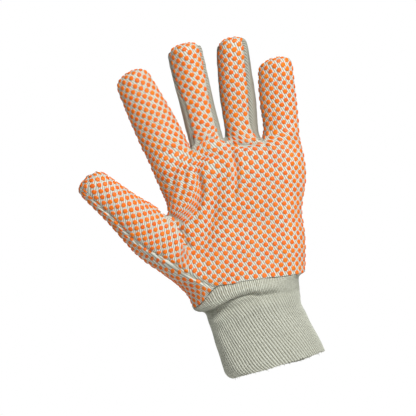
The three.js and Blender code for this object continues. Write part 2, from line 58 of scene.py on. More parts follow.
# %% Sizes of the glove
CUFF_LENGTH = 62.0
CUFF_WIDTH = 72.0
CUFF_DEPTH = 48.0
HEM_FLARE = 17.0
HEM_WIDTH = CUFF_WIDTH + HEM_FLARE
PALM_LENGTH = 112.0
PALM_WIDTH = 110.0
PALM_DEPTH = 36.0
CLOTH_THICKNESS = 1.2
KNIT_THICKNESS = 1.6
DIGIT_DEPTH_SHARE = 0.8
DIGIT_STATIONS = (0.11, 0.36, 0.62, 0.84, 0.95)
TIP_START = 0.5
SEAM_TURN = (0.42, 0.84)
LEAST_SIDE_TURN = 24

# %% The digits, with their lean, seams and girth
DIGITS = {
    "index": dict(length=67.5, width=0.282, root=(-0.264, 0, 1.018), lean=-8.5, forward=0,
                  curl=0.17, shift=0, slope=0.05, seams=(135, 45), tip_seams=(135, 45),
                  girth=(1.07, 1.04, 0.96, 0.88, 0.68), warp=-7),
    "middle": dict(length=74.7, width=0.236, root=(0.004, 0, 1.018), lean=4.1, forward=0,
                   curl=0.23, shift=0.02, slope=0, seams=(135, 39), tip_seams=(178, 10),
                   girth=(0.99, 0.98, 0.97, 0.94, 0.82), warp=2),
    "ring": dict(length=75.5, width=0.245, root=(0.25, 0, 0.96), lean=11.2, forward=0,
                 curl=0.26, shift=0.01, slope=0.1, seams=(176, 58), tip_seams=(180, 48),
                 girth=(0.94, 0.99, 0.96, 0.9, 0.75), warp=10),
    "little": dict(length=57.0, width=0.255, root=(0.509, 0, 0.906), lean=11.6, forward=0,
                   curl=0.21, shift=0.04, slope=0.13, seams=(137, 45), tip_seams=(137, 45),
                   girth=(0.96, 0.98, 0.97, 0.93, 0.77)),
    "thumb": dict(length=65.0, width=0.291, root=(-0.55, -0.25, 0.545), lean=-31.6, forward=16,
                  curl=0, shift=0, slope=-0.14, seams=(130, 45), tip_seams=(130, 45),
                  girth=(1.09, 0.95, 0.84, 0.76, 0.6), warp=50),
}

# %% The palm's sections, from the hem to the knuckles
PALM_SECTIONS = {
    "heel": dict(z=(0.09, 0.145, 0.098), left=-0.45, corner=-0.4, crease=-0.31, right=0.41,
                 front=(0.58, 0.61, 0.5), back=0.56),
    "thumb_low": dict(z=(0.268, 0.286, 0.241), left=-0.545, corner=-0.5, crease=-0.42,
                      right=0.453, front=(0.56, 0.56, 0.5), back=0.5),
    "thumb_middle": dict(z=(0.43, 0.437, 0.393), left=-0.455, corner=-0.41, crease=-0.355,
                         right=0.484, front=(0.51, 0.5, 0.47), back=0.486),
    "thumb_top": dict(z=(0.616, 0.607, 0.554), left=-0.386, corner=-0.4, crease=-0.341,
                      right=0.566, front=(0.417, 0.47, 0.44), back=0.458),
    "index_side": dict(z=(0.777, 0.759, 0.705), left=-0.394, corner=-0.35, crease=-0.273,
                       right=0.606, front=(0.4, 0.43, 0.417), back=0.417),
    "knuckles": dict(z=(0.902, 0.893, 0.813), left=-0.405, corner=-0.364, crease=-0.273,
                     right=0.615, front=(0.39, 0.39, 0.375), back=0.39),
}
FRONT_SHARES = (0, 0.165, 0.3, 0.425, 0.57, 0.7, 0.85, 0.95)
BACK_SHARES = (0.05, 0.17, 0.29, 0.4, 0.51, 0.63, 0.74, 0.86, 0.955)
BACK_ARCH = (0.62, 0.92, 0.98, 1, 1, 1, 0.98, 0.92, 0.62)
LEFT_CORNER_DEPTH = 0.66  # share of the depth beside it
RIGHT_CORNER_DEPTH = 0.62
HEM_CENTRE = -0.04
HEM_FRONT = ((-0.415, -0.004), (-0.267, 0.067), (-0.153, 0.061), (-0.051, 0.054), (0.051, 0.04),
             (0.165, 0.025), (0.267, 0.005), (0.369, -0.011), (0.449, -0.02))
HEM_SIDE = -0.016
HEM_BACK = 0.017
FORKS = ((-0.114, 1.013), (0.123, 0.996), (0.368, 0.924))
FINGER_ROOTS = ((-0.273, 1.018), (0.014, 1.031), (0.25, 0.911), (0.514, 0.902))
KNUCKLE_LEFT = dict(side=-0.414, corner=-0.377, z=1.009)
KNUCKLE_RIGHT = dict(side=0.625, corner=0.59, z=0.886)
ROOT_DEPTH = 0.34
FORK_DEPTH = 0.24
FORK_DROP = 0.018
THUMB_ROOT = (
    ("F0", "thumb_low", -0.595, -0.2, 0.31), ("F1", "thumb_low", -0.445, -0.56, 0.29),
    ("F1", "thumb_middle", -0.36, -0.53, 0.41), ("F1", "thumb_top", -0.345, -0.43, 0.575),
    ("F0", "thumb_top", -0.4, -0.2, 0.625), ("L", "thumb_top", -0.386, 0.12, 0.616),
    ("L", "thumb_middle", -0.455, 0.26, 0.45), ("L", "thumb_low", -0.545, 0.16, 0.31),
)

# %% Points of the palm, row by row
FRONT = ["L", *(f"F{i}" for i in range(9)), "R"]
BACK = ["L", *(f"B{i}" for i in range(9)), "R"]
AROUND = FRONT + BACK[-2:0:-1]
ROW_NAMES = ["hem", *PALM_SECTIONS, "knuckle"]
KNUCKLE = len(ROW_NAMES) - 1


def palm_height(share):
    return CUFF_LENGTH + share * PALM_LENGTH


def palm_point(x, y, z):
    return np.array([x * PALM_WIDTH, y * PALM_DEPTH, palm_height(z)])


def parabola(values, t):
    a, b, c = values
    return a * (2 * t - 1) * (t - 1) + 4 * b * t * (1 - t) + c * t * (2 * t - 1)


def hem_point(x, z, side):
    depth = CUFF_DEPTH / 2 * math.sqrt(1 - min(1, abs(2 * x)) ** 2)
    return np.array([(x + HEM_CENTRE) * HEM_WIDTH, side * depth, palm_height(z)])


def hem_row():
    row = {"L": hem_point(-0.5, HEM_SIDE, -1), "R": hem_point(0.5, HEM_SIDE, -1)}
    for i, (x, z) in enumerate(HEM_FRONT):
        row[f"F{i}"] = hem_point(x, z, -1)
        row[f"B{i}"] = hem_point(x, HEM_BACK, 1)
    return row


def palm_row(z, left, corner, crease, right, front, back):
    def at(x, depth):
        return palm_point(x, depth, parabola(z, (x - left) / (right - left)))

    row = {"L": at(left, 0), "R": at(right, 0), "F0": at(corner, -LEFT_CORNER_DEPTH * front[0])}
    for i, share in enumerate(FRONT_SHARES):
        depth = RIGHT_CORNER_DEPTH * front[2]
        if i < 7:
            depth = parabola(front, share / FRONT_SHARES[6])
        row[f"F{i + 1}"] = at(crease + (right - crease) * share, -depth)
    for i, share in enumerate(BACK_SHARES):
        row[f"B{i}"] = at(left + (right - left) * share, back * BACK_ARCH[i])
    return row


def knuckle_row():
    row = {}
    for side, first, end in (("L", 0, KNUCKLE_LEFT), ("R", 8, KNUCKLE_RIGHT)):
        row[side] = palm_point(end["side"], 0, end["z"])
        row[f"F{first}"] = palm_point(end["corner"], -FORK_DEPTH, end["z"])
        row[f"B{first}"] = palm_point(end["corner"], FORK_DEPTH, end["z"])
    for i, (x, z) in enumerate(FORKS):
        row[f"W{i + 1}"] = palm_point(x, 0, z)
        row[f"F{2 * i + 2}"] = palm_point(x, -FORK_DEPTH, z - FORK_DROP)
        row[f"B{2 * i + 2}"] = palm_point(x, FORK_DEPTH, z - FORK_DROP)
    for i, (x, z) in enumerate(FINGER_ROOTS):
        row[f"F{2 * i + 1}"] = palm_point(x, -ROOT_DEPTH, z)
        row[f"B{2 * i + 1}"] = palm_point(x, ROOT_DEPTH, z)
    return row


rows = [hem_row(), *(palm_row(**section) for section in PALM_SECTIONS.values()), knuckle_row()]
for column, section, x, y, z in THUMB_ROOT:
    rows[ROW_NAMES.index(section)][column] = palm_point(x, y, z)
HOLE_START = ROW_NAMES.index("thumb_low")
HOLE_END = ROW_NAMES.index("thumb_top")
del rows[ROW_NAMES.index("thumb_middle")]["F0"]
print("Palm rows:", len(rows), "with", sum(len(row) for row in rows), "points")

# %% Rings of points round each digit


def smooth_step(t):
    t = np.clip(t, 0, 1)
    return t * t * (3 - 2 * t)


def bell(t):
    """1 at zero, and falling off smoothly on both sides."""
    return np.exp(-(t**2))


def unit(vectors):
    """The vectors made one unit long."""
    return vectors / np.linalg.norm(vectors, axis=-1, keepdims=True)


def digit_frame(d):
    lean, forward = math.radians(d["lean"]), math.radians(d["forward"])
    along = np.array([math.sin(lean) * math.cos(forward), -math.sin(forward),
                      math.cos(lean) * math.cos(forward)])
    right = np.array([math.cos(lean), 0, -math.sin(lean)])
    return along, right, np.cross(right, along), palm_point(*d["root"])


def tip_weight(share):
    return (max(0, share - TIP_START) / (1 - TIP_START)) ** 2


def digit_centre(d, share):
    along, right, front, root = digit_frame(d)
    width = d["width"] * PALM_WIDTH
    sideways = d["shift"] * width * tip_weight(share)
    return root + along * share * d["length"] + front * d["curl"] * width * share**2 + right * sideways


def digit_ring(d, share, girth):
    along, right, front, _ = digit_frame(d)
    centre = digit_centre(d, share)
    half = 0.5 * d["width"] * PALM_WIDTH * girth
    t = smooth_step((share - SEAM_TURN[0]) / (SEAM_TURN[1] - SEAM_TURN[0]))
    left, right_seam = (a + t * (b - a) for a, b in zip(d["seams"], d["tip_seams"]))
    turn = max(LEAST_SIDE_TURN, 90 - (left - right_seam) / 2)
    step = (360 - (left - right_seam) - 2 * turn) / 4
    degrees = (left + turn, left, (left + right_seam) / 2, right_seam,
               *(right_seam - turn - k * step for k in range(4)))
    ring = []
    for angle in map(math.radians, degrees):
        side = half * math.cos(angle)
        ring.append(centre + right * side + along * d["slope"] * side * tip_weight(share)
                    + front * half * DIGIT_DEPTH_SHARE * math.sin(angle))
    return ring


def root_names(name):
    """Names of the eight palm points that a digit grows from."""
    if name == "thumb":
        return [f"{column}.{ROW_NAMES.index(section)}" for column, section, *_ in THUMB_ROOT]
    i = list(DIGITS).index(name)
    left, right = ("L" if i == 0 else f"W{i}"), ("R" if i == 3 else f"W{i + 1}")
    columns = [left, *(f"F{2 * i + k}" for k in range(3)), right,
               *(f"B{2 * i + k}" for k in (2, 1, 0))]
    return [f"{column}.{KNUCKLE}" for column in columns]


def digit_pieces(name):
    """The sewn piece of each of the eight faces round a digit."""
    if name == "thumb":
        return ["thumb_back"] + ["palm_panel"] * 4 + ["thumb_back"] * 3
    if name in ("middle", "ring"):
        return ["back_panel"] + [f"{name}_front"] * 2 + ["back_panel"] * 5
    return ["palm_panel"] * 4 + ["back_panel"] * 4


# %% Join the points into a cage of four-sided faces
point_names = {}
cage_points = []
cage_faces = []  # piece, digit or "", four point names


def add_point(name, place):
    point_names[name] = len(cage_points)
    cage_points.append(place)


def cage_place(name):
    return cage_points[point_names[name]]


for r, row in enumerate(rows):
    for column, place in row.items():
        add_point(f"{column}.{r}", place)
for r in range(KNUCKLE):
    for c, column in enumerate(AROUND):
        after = AROUND[(c + 1) % len(AROUND)]
        near_thumb = column in ("L", "F0")
        if near_thumb and HOLE_START <= r < HOLE_END:
            continue
        piece = "back_panel" if column[0] in "BR" else "palm_panel"
        if near_thumb and r < HOLE_START:
            piece = "thumb_back"
        cage_faces.append((piece, "", [f"{column}.{r}", f"{after}.{r}", f"{after}.{r + 1}",
                                       f"{column}.{r + 1}"]))
for name, d in DIGITS.items():
    ring = root_names(name)
    pieces = digit_pieces(name)
    for s, (share, girth) in enumerate(zip(DIGIT_STATIONS, d["girth"])):
        following = [f"{name}.{s}.{k}" for k in range(8)]
        for key, place in zip(following, digit_ring(d, share, girth)):
            add_point(key, place)
        for k in range(8):
            j = (k + 1) % 8
            cage_faces.append((pieces[k], name, [ring[k], ring[j], following[j], following[k]]))
        ring = following
    tip = f"{name}.tip"
    add_point(tip, digit_centre(d, 1))
    cage_faces += [(pieces[1], name, [ring[0], ring[1], ring[2], tip]),
                   (pieces[1], name, [tip, ring[2], ring[3], ring[4]]),
                   (pieces[5], name, [tip, ring[4], ring[5], ring[6]]),
                   (pieces[5], name, [tip, ring[6], ring[7], ring[0]])]
cage_points = np.array(cage_points)
cage_quads = np.array([[point_names[n] for n in names] for _, _, names in cage_faces])
print("Cage:", len(cage_points), "points and", len(cage_quads), "faces")

# %% [markdown]
# Repeated subdivision pulls the surface inside its cage. To make the cloth pass through the
# measured points, the cage is pushed outwards a few times by what the smooth surface misses.

# %% Fit a cage so that its smooth surface passes through its targets
def fitted_cage(targets, quads, rounds=12):
    edge_faces = {}
    for f, quad in enumerate(quads):
        for k in range(4):
            edge_faces.setdefault(tuple(sorted((quad[k], quad[(k + 1) % 4]))), []).append(f)
    n = len(targets)
    spokes, rims, diagonals = np.zeros((n, n)), np.zeros((n, n)), np.zeros((n, n))
    for (a, b), on in edge_faces.items():
        spokes[a, b] = spokes[b, a] = 1
        rims[a, b] = rims[b, a] = len(on) == 1
    for quad in quads:
        for k in range(4):
            diagonals[quad[k], quad[(k + 2) % 4]] += 1
    valence = spokes.sum(1)[:, None]
    on_rim = rims.sum(1)[:, None] > 0

    def limit_places(places):
        inner = valence**2 * places + 4 * spokes @ places + diagonals @ places
        rim = (4 * places + rims @ places) / 6
        return np.where(on_rim, rim, inner / (valence * (valence + 5)))

    fitted = targets.copy()
    for _ in range(rounds):
        fitted += targets - limit_places(fitted)
    return fitted, np.abs(limit_places(fitted) - targets).max()


fitted, miss = fitted_cage(cage_points, cage_quads)
print("Largest miss of the fit: %.4f mm" % miss)

# %% [markdown]
# ## Laying the cloth flat
# Weave and dots follow the cloth, not the hand. Each cage point gets the place that it had in
# the flat cloth, which ends as a UV map in millimetres with the warp threads along V. Lengths
# round the hand are measured along the surface. The flat places of each piece make a second,
# level cage, so that Blender rounds the flat pattern in step with the glove.

# %% Places of the palm's points once they are spread flat
PALM_WARP = 12.0  # degrees that the palm's warp leans to the right
THUMB_BACK_WARP = -12.0
ARC_BULGE = 1.025  # an arc of a ring is a little longer than its chord
BACK_TURN_START = 3.0  # millimetres up a finger where its back starts to turn with it
BACK_TURN_LENGTH = 24.0


def spread(row, order, middle):
    order = [column for column in order if column in row]
    start = order.index(middle)
    places = {middle: row[middle][0]}
    for step in (1, -1):
        k = start
        while 0 <= k + step < len(order):
            a, b = order[k], order[k + step]
            places[b] = places[a] + step * np.linalg.norm(row[b] - row[a])
            k += step
    return places


spread_front = [spread(row, FRONT, "F4") for row in rows]
spread_back = [spread(row, BACK, "B4") for row in rows]


def axes_2d(degrees):
    """Directions across and along a line that leans to the right."""
    a = math.radians(degrees)
    return np.array([math.cos(a), -math.sin(a)]), np.array([math.sin(a), math.cos(a)])


# %% Flat places round a digit, measured from its front or back line
def chain_side(lengths, k, from_back):
    """Signed length along the ring from the front point 2, or from the back point 6."""
    if not from_back:
        return sum(lengths[2:k]) if k >= 2 else -sum(lengths[k:2])
    if 3 <= k <= 6:
        return sum(lengths[k:6])
    return -sum(lengths[(6 + i) % 8] for i in range((k - 6) % 8))


def ring_places(name, s):
    keys = root_names(name) if s < 0 else [f"{name}.{s}.{k}" for k in range(8)]
    return [cage_place(key) for key in keys]


def arc_lengths(name, s):
    """Lengths of the eight arcs of a ring, or of the root's chords."""
    ring = ring_places(name, s)
    bulge = 1.0 if s < 0 else ARC_BULGE
    return [bulge * np.linalg.norm(ring[(k + 1) % 8] - ring[k]) for k in range(8)]


def digit_root_2d(name, from_back):
    if name == "thumb":
        root = palm_point(*DIGITS["thumb"]["root"])
        return np.array([root[0], root[2]])
    i = 2 * list(DIGITS).index(name) + 1
    places, column = (spread_back, f"B{i}") if from_back else (spread_front, f"F{i}")
    return np.array([places[KNUCKLE][column], rows[KNUCKLE][column][2]])


def flat_2d(key, digit, from_back):
    """Where a point lies when the glove is spread flat in the front view."""
    parts = key.split(".")
    d = DIGITS.get(digit)
    if parts[0] in DIGITS:
        across, along = axes_2d(d["lean"])
        root = digit_root_2d(digit, from_back)
        lift = 0 if digit == "thumb" else (palm_point(*d["root"])[2] - root[1]) / along[1]
        if parts[1] == "tip":
            cap = np.linalg.norm(digit_centre(d, 1) - ring_places(digit, 4)[2])
            return root + along * (lift + DIGIT_STATIONS[-1] * d["length"] + cap)
        s, k = int(parts[1]), int(parts[2])
        side = chain_side(arc_lengths(digit, s), k, from_back)
        return root + along * (lift + DIGIT_STATIONS[s] * d["length"]) + across * side
    column, r = parts[0], int(parts[1])
    places = (spread_back if from_back else spread_front)[r]
    if digit and (column[0] == "W" or column not in places):
        k = root_names(digit).index(key)
        middle = root_names(digit)[6 if from_back else 2]
        side = chain_side(arc_lengths(digit, -1), k, from_back)
        return flat_2d(middle, digit, from_back) + np.array([side, 0])
    return np.array([places[column], rows[r][column][2]])


# %% Turn each piece so that its warp runs along V
def turned(places, degrees):
    """Flat places turned so that a line with that lean stands upright."""
    across, along = axes_2d(degrees)
    return np.stack([places @ across, places @ along], axis=-1)


def warp_place(place, pivot, degrees, pivot_place=(0, 0)):
    return turned(place - pivot, degrees) + pivot_place


def back_uv(place, digit):
    if not digit:
        return place
    pivot = digit_root_2d(digit, True)
    lean = DIGITS[digit]["lean"]
    above = (place - pivot) @ axes_2d(lean)[1]
    weight = smooth_step((above - BACK_TURN_START) / BACK_TURN_LENGTH)
    return place + weight * (warp_place(place, pivot, lean, pivot) - place)


def thumb_back_place(key, digit):
    """The thumb's outer cloth: near its root it is measured down from the first station."""
    thumb = DIGITS["thumb"]
    across, along = axes_2d(thumb["lean"])
    if digit and key in root_names("thumb")[5:]:
        above = f"thumb.0.{root_names('thumb').index(key)}"
        drop = np.linalg.norm(cage_place(above) - cage_place(key))
        return thumb_back_place(above, digit) - along * drop
    if not key.startswith("thumb"):
        return flat_2d(key, "", False)
    if key == "thumb.tip":
        return flat_2d(key, "thumb", False)
    s, k = map(int, key.split(".")[1:])
    lengths = arc_lengths("thumb", s)
    side = -sum(lengths[i % 8] for i in range(k if k > 3 else k + 8, 10))
    return digit_root_2d("thumb", False) + along * DIGIT_STATIONS[s] * thumb["length"] + across * side


def corner_uv(piece, digit, key):
    if piece == "thumb_back":
        return warp_place(thumb_back_place(key, digit), np.zeros(2), THUMB_BACK_WARP)
    if piece == "back_panel":
        return back_uv(flat_2d(key, digit, True), digit)
    place = flat_2d(key, digit, False)
    if piece == "palm_panel":
        return place
    return warp_place(place, digit_root_2d(digit, False), DIGITS[digit]["warp"])


chart_ids, chart_places, chart_quads = {}, [], []
for piece, digit, keys in cage_faces:
    quad = []
    for key in keys:
        u, v = corner_uv(piece, digit, key)
        name = (piece, key, round(float(u), 3), round(float(v), 3))
        if name not in chart_ids:
            chart_ids[name] = len(chart_places)
            chart_places.append((u, v, 0))
        quad.append(chart_ids[name])
    chart_quads.append(quad)
chart_quads = np.array(chart_quads)
fitted_chart, miss = fitted_cage(np.array(chart_places), chart_quads)
print("Flat pattern:", len(chart_places), "points, largest miss %.4f mm" % miss)

# %% [markdown]
# The cage now goes to Blender as a mesh, and the Subdivision modifier gives the fine surface
# back, with the faces of each coarse face next to each other. Sizes stay in millimetres until
# the pieces are made.

# %% Refine the cage with a Subdivision modifier
PIECES = ["palm_panel", "middle_front", "ring_front", "thumb_back", "back_panel"]
LEVEL = 4


def link_mesh(name, places, faces):
    """A new mesh object in the scene."""
    mesh = bpy.data.meshes.new(name)
    mesh.from_pydata(places, [], faces)
    made = bpy.data.objects.new(name, mesh)
    bpy.context.scene.collection.objects.link(made)
    return made


def refine(places, quads):
    cage = link_mesh("cage", places.tolist(), quads.tolist())
    rounder = cage.modifiers.new("round", "SUBSURF")
    rounder.levels = LEVEL
    rounder.use_limit_surface = True
    graph = bpy.context.evaluated_depsgraph_get()
    fine = cage.evaluated_get(graph).to_mesh()
    points = np.empty(len(fine.vertices) * 3)
    fine.vertices.foreach_get("co", points)
    corners = np.empty(len(fine.loops), dtype=np.int64)
    fine.loops.foreach_get("vertex_index", corners)
    bpy.data.objects.remove(cage)
    return points.reshape(-1, 3).astype(float), corners.reshape(-1, 4)


points, quads = refine(fitted, cage_quads)
flat_points, flat_quads = refine(fitted_chart, chart_quads)
flats = flat_points[flat_quads][:, :, :2]
faces_each = len(quads) // len(cage_quads)
tags = np.repeat([PIECES.index(piece) for piece, _, _ in cage_faces], faces_each)
on_thumb = np.repeat([digit == "thumb" for _, digit, _ in cage_faces], faces_each)

# the thumb's seam runs slanting over one face of its tip, so half of that face changes sides
tip_ends = ["thumb.4.4", "thumb.4.6"]
tip_face = np.repeat([keys[0] == "thumb.tip" and keys[1] == tip_ends[0]
                      for _, _, keys in cage_faces], faces_each)
centres = points[quads].mean(axis=1)
to_ends = [np.linalg.norm(centres - cage_place(key), axis=1) for key in tip_ends]
tags[tip_face & (to_ends[0] < to_ends[1])] = PIECES.index("palm_panel")


def faces_of(piece):
    """Which of the fine faces belong to a piece."""
    return tags == PIECES.index(piece)


def crossed_diagonals(points, quads):
    """The faces' normals, each as long as twice its face's area."""
    corner = points[quads]
    return np.cross(corner[:, 2] - corner[:, 0], corner[:, 3] - corner[:, 1])


def normals_of(points, quads):
    face = crossed_diagonals(points, quads)
    total = np.zeros_like(points)
    for k in range(4):
        np.add.at(total, quads[:, k], face)
    return unit(total)


smooth_normals = normals_of(points, quads)
print("Fine surface:", len(points), "points and", len(quads), "faces")

# %% [markdown]
# ## Folds and seams
# A worn glove creases where the hand bends: at the thumb's root, under the index finger and
# between the knuckles. Each fold is a drawn line with a depth and a reach. Its profile
# is a valley with low ridges beside it, which reads as cloth better than a plain groove.

# %% The folds, as lines over the palm in shares of its width and length
MAIN_FOLDS = {
    "thumb_crease": (0.07, 0.1, ((-0.38, 0.61), (-0.345, 0.52), (-0.345, 0.44), (-0.33, 0.38))),
    "index_root": (0.05, 0.1, ((-0.13, 0.98), (-0.17, 0.89), (-0.245, 0.83), (-0.37, 0.73))),
    "index_arc": (0.06, 0.13, ((0.05, 0.905), (-0.05, 0.905), (-0.11, 0.84), (-0.13, 0.74),
                               (-0.17, 0.67), (-0.24, 0.61), (-0.33, 0.58))),
    "ring_fork": (0.04, 0.1, ((0.12, 0.98), (0.135, 0.87), (0.135, 0.78), (0.1, 0.69),
                              (0.055, 0.6))),
    "palm_hollow": (0.05, 0.22, ((0, 0.72), (-0.07, 0.61), (-0.12, 0.5), (-0.18, 0.4),
                                 (-0.255, 0.31), (-0.3, 0.25))),
}
SMALL_FOLDS = {
    "little_fork": (0.03, 0.06, ((0.37, 0.92), (0.372, 0.86), (0.38, 0.8))),
    "ring_base": (0.035, 0.06, ((0.14, 0.96), (0.2, 0.915), (0.27, 0.9), (0.35, 0.91))),
    "middle_base": (0.02, 0.05, ((-0.11, 0.965), (-0.03, 0.945), (0.05, 0.945), (0.12, 0.96))),
    "ring_fork_low": (0.035, 0.07, ((0.135, 0.86), (0.13, 0.76), (0.1, 0.66), (0.04, 0.56))),
    "arc_low": (0.06, 0.09, ((-0.11, 0.79), (-0.13, 0.71), (-0.17, 0.63), (-0.23, 0.57))),
    "thumb_crease_sharp": (0.085, 0.04, ((-0.385, 0.62), (-0.35, 0.53), (-0.345, 0.45),
                                         (-0.325, 0.37))),
    "thumb_web": (0.04, 0.06, ((-0.37, 0.6), (-0.3, 0.575), (-0.23, 0.6), (-0.18, 0.65))),
    "thumb_web_low": (0.03, 0.06, ((-0.34, 0.555), (-0.27, 0.53), (-0.2, 0.55))),
    "index_side": (0.03, 0.06, ((-0.2, 0.9), (-0.22, 0.8), (-0.28, 0.72), (-0.35, 0.67))),
    "hollow_line": (0.035, 0.09, ((-0.03, 0.68), (-0.1, 0.55), (-0.14, 0.48), (-0.19, 0.41),
                                  (-0.26, 0.35), (-0.35, 0.28))),
    "edge_dimple": (0.035, 0.12, ((0.5, 0.68), (0.53, 0.63), (0.55, 0.58))),
    "edge_dimple_low": (0.025, 0.14, ((0.46, 0.5), (0.48, 0.42), (0.47, 0.33))),
    "thumb_side": (0.02, 0.08, ((-0.5, 0.46), (-0.53, 0.4), (-0.5, 0.35))),
}
FOLD_ENDS = 0.08  # shares of a line that a fold and a step lose at their ends
STEP_ENDS = 0.04
FOLD_END_REACH = 6.0  # reaches from its line at which a fold or step has ended
FOLD_LIPS = 0.8  # how high the ridges beside a valley stand
CURVE_POINTS = 160
PLACES_AT_ONCE = 20000  # keeps the table of distances to a curve small
HEM_FADE = 10.0  # millimetres above the hem over which the back's folds fade in
LEAST_FACING = 0.3  # how far cloth has to face the front, or the back, to be folded


def smooth_curve(knots, count):
    """Points on a smooth curve through a few knots, as a Catmull-Rom spline."""
    last = len(knots) - 1
    curve = []
    for t in np.linspace(0, last, count):
        i = min(int(t), last - 1)
        w = t - i
        p0, p1, p2, p3 = knots[max(i - 1, 0)], knots[i], knots[i + 1], knots[min(i + 2, last)]
        v0, v1 = (p2 - p0) / 2, (p3 - p1) / 2
        curve.append((2 * p1 - 2 * p2 + v0 + v1) * w**3 + (-3 * p1 + 3 * p2 - 2 * v0 - v1) * w**2
                     + v0 * w + p1)
    return np.array(curve)


def beside(places, line):
    """Distance to a line, positive on its left, how far along it, and its left direction."""
    knots = np.array([(x * PALM_WIDTH, palm_height(z)) for x, z in line])
    curve = smooth_curve(knots, CURVE_POINTS)
    along = unit(np.gradient(curve, axis=0))
    left = np.stack([-along[:, 1], along[:, 0]], axis=1)
    distance = np.empty(len(places))
    nearest = np.empty(len(places), dtype=int)
    for start in range(0, len(places), PLACES_AT_ONCE):
        part = slice(start, start + PLACES_AT_ONCE)
        away = places[part, None] - curve[None]
        square = (away**2).sum(2)
        k = square.argmin(1)
        row = np.arange(len(k))
        side = (away[row, k] * left[k]).sum(1)
        distance[part] = np.sqrt(square[row, k]) * np.where(side < 0, -1, 1)
        nearest[part] = k
    return distance, nearest / (len(curve) - 1), left[nearest]


def fade_ends(share, lost):
    """Highest at a line's middle, and low at its ends."""
    return np.sin(math.pi * (lost + (1 - 2 * lost) * share))


def fold_depth(places, folds):
    """How far the folds pull the cloth in at places in the front view."""
    depth = np.zeros(len(places))
    for strength, reach, line in folds.values():
        distance, share, _ = beside(places, line)
        t2 = np.minimum((distance / (reach * PALM_DEPTH)) ** 2, FOLD_END_REACH**2)
        fade = np.sqrt(fade_ends(share, FOLD_ENDS))
        depth += strength * PALM_DEPTH * fade * (1 - FOLD_LIPS * t2) * np.exp(-t2)
    return depth


def step_height(places, steps):
    """Lifts the cloth on one side of a line and sinks it on the other."""
    lift = np.zeros(len(places))
    for height, reach, line in steps.values():
        distance, share, _ = beside(places, line)
        t = np.clip(distance / reach, -FOLD_END_REACH, FOLD_END_REACH)
        lift += height * fade_ends(share, STEP_ENDS) * t * np.exp(0.5 - t**2 / 2)
    return lift


BACK_FOLDS = {
    "index_knuckle": (0.025, 0.07, ((-0.37, 0.93), (-0.29, 0.9), (-0.2, 0.92))),
    "middle_knuckle": (0.022, 0.08, ((-0.1, 0.95), (0.0, 0.92), (0.1, 0.94))),
    "ring_knuckle": (0.022, 0.08, ((0.15, 0.91), (0.24, 0.87), (0.34, 0.87))),
    "little_knuckle": (0.025, 0.07, ((0.4, 0.84), (0.49, 0.8), (0.59, 0.8))),
    "index_fork": (0.03, 0.07, ((-0.115, 0.97), (-0.12, 0.87), (-0.15, 0.78))),
    "ring_fork": (0.025, 0.08, ((0.12, 0.95), (0.11, 0.85), (0.08, 0.75))),
    "little_fork": (0.025, 0.07, ((0.365, 0.9), (0.36, 0.8), (0.33, 0.7))),
    "thumb_pull": (0.045, 0.13, ((-0.42, 0.52), (-0.3, 0.44), (-0.16, 0.3), (-0.1, 0.18))),
    "thumb_pull_low": (0.03, 0.1, ((-0.48, 0.38), (-0.38, 0.28), (-0.3, 0.14))),
    "wrist_left": (0.03, 0.09, ((-0.2, 0.05), (-0.18, 0.14), (-0.1, 0.24))),
    "wrist_right": (0.03, 0.1, ((0.26, 0.04), (0.24, 0.16), (0.3, 0.3))),
    "edge_pull": (0.03, 0.12, ((0.5, 0.6), (0.4, 0.52), (0.34, 0.4))),
}
STEPS = {
    # height and reach in millimetres: the raised side is on the line's left
    "index_root": (1.3, 2.0, ((-0.14, 0.99), (-0.215, 0.905), (-0.265, 0.85), (-0.3, 0.79),
                              (-0.36, 0.74))),
    "ring_fork": (-0.7, 2.2, ((0.12, 0.98), (0.14, 0.88), (0.14, 0.78), (0.11, 0.69))),
    "arc": (0.8, 2.6, ((0.0, 0.9), (-0.08, 0.87), (-0.115, 0.8), (-0.135, 0.72), (-0.18, 0.65),
                       (-0.25, 0.6))),
    "thumb_crease": (-0.9, 2.0, ((-0.39, 0.62), (-0.35, 0.54), (-0.34, 0.46), (-0.32, 0.4))),
}

facing = np.maximum(0, -smooth_normals[:, 1])
folded = np.where((facing > LEAST_FACING) & (points[:, 2] < palm_height(1)))[0]
front_view = points[folded][:, [0, 2]]
pull = fold_depth(front_view, MAIN_FOLDS | SMALL_FOLDS) - step_height(front_view, STEPS)
pull *= facing[folded]
points[folded] -= smooth_normals[folded] * pull[:, None]
behind = np.where((smooth_normals[:, 1] > LEAST_FACING) & (points[:, 2] < palm_height(1.02)))[0]
back_pull = fold_depth(points[behind][:, [0, 2]], BACK_FOLDS) * smooth_normals[behind, 1]
back_pull *= smooth_step((points[behind, 2] - palm_height(0.02)) / HEM_FADE)
points[behind] -= smooth_normals[behind] * back_pull[:, None]
print("Folds move", len(folded), "points by up to %.1f mm" % np.abs(pull).max())
print("Folds of the back move", len(behind), "points by up to %.1f mm" % back_pull.max())

# %% [markdown]
# One cloth covers the palm, the index finger and the front of the thumb, but its rows of dots
# turn by 19 degrees into the finger and by 38 into the thumb. The cloth between them is
# bunched up, and its dots look squeezed. The flat pattern is turned about a point at the end
# of each fold, and a few folds gather a few more millimetres of cloth.

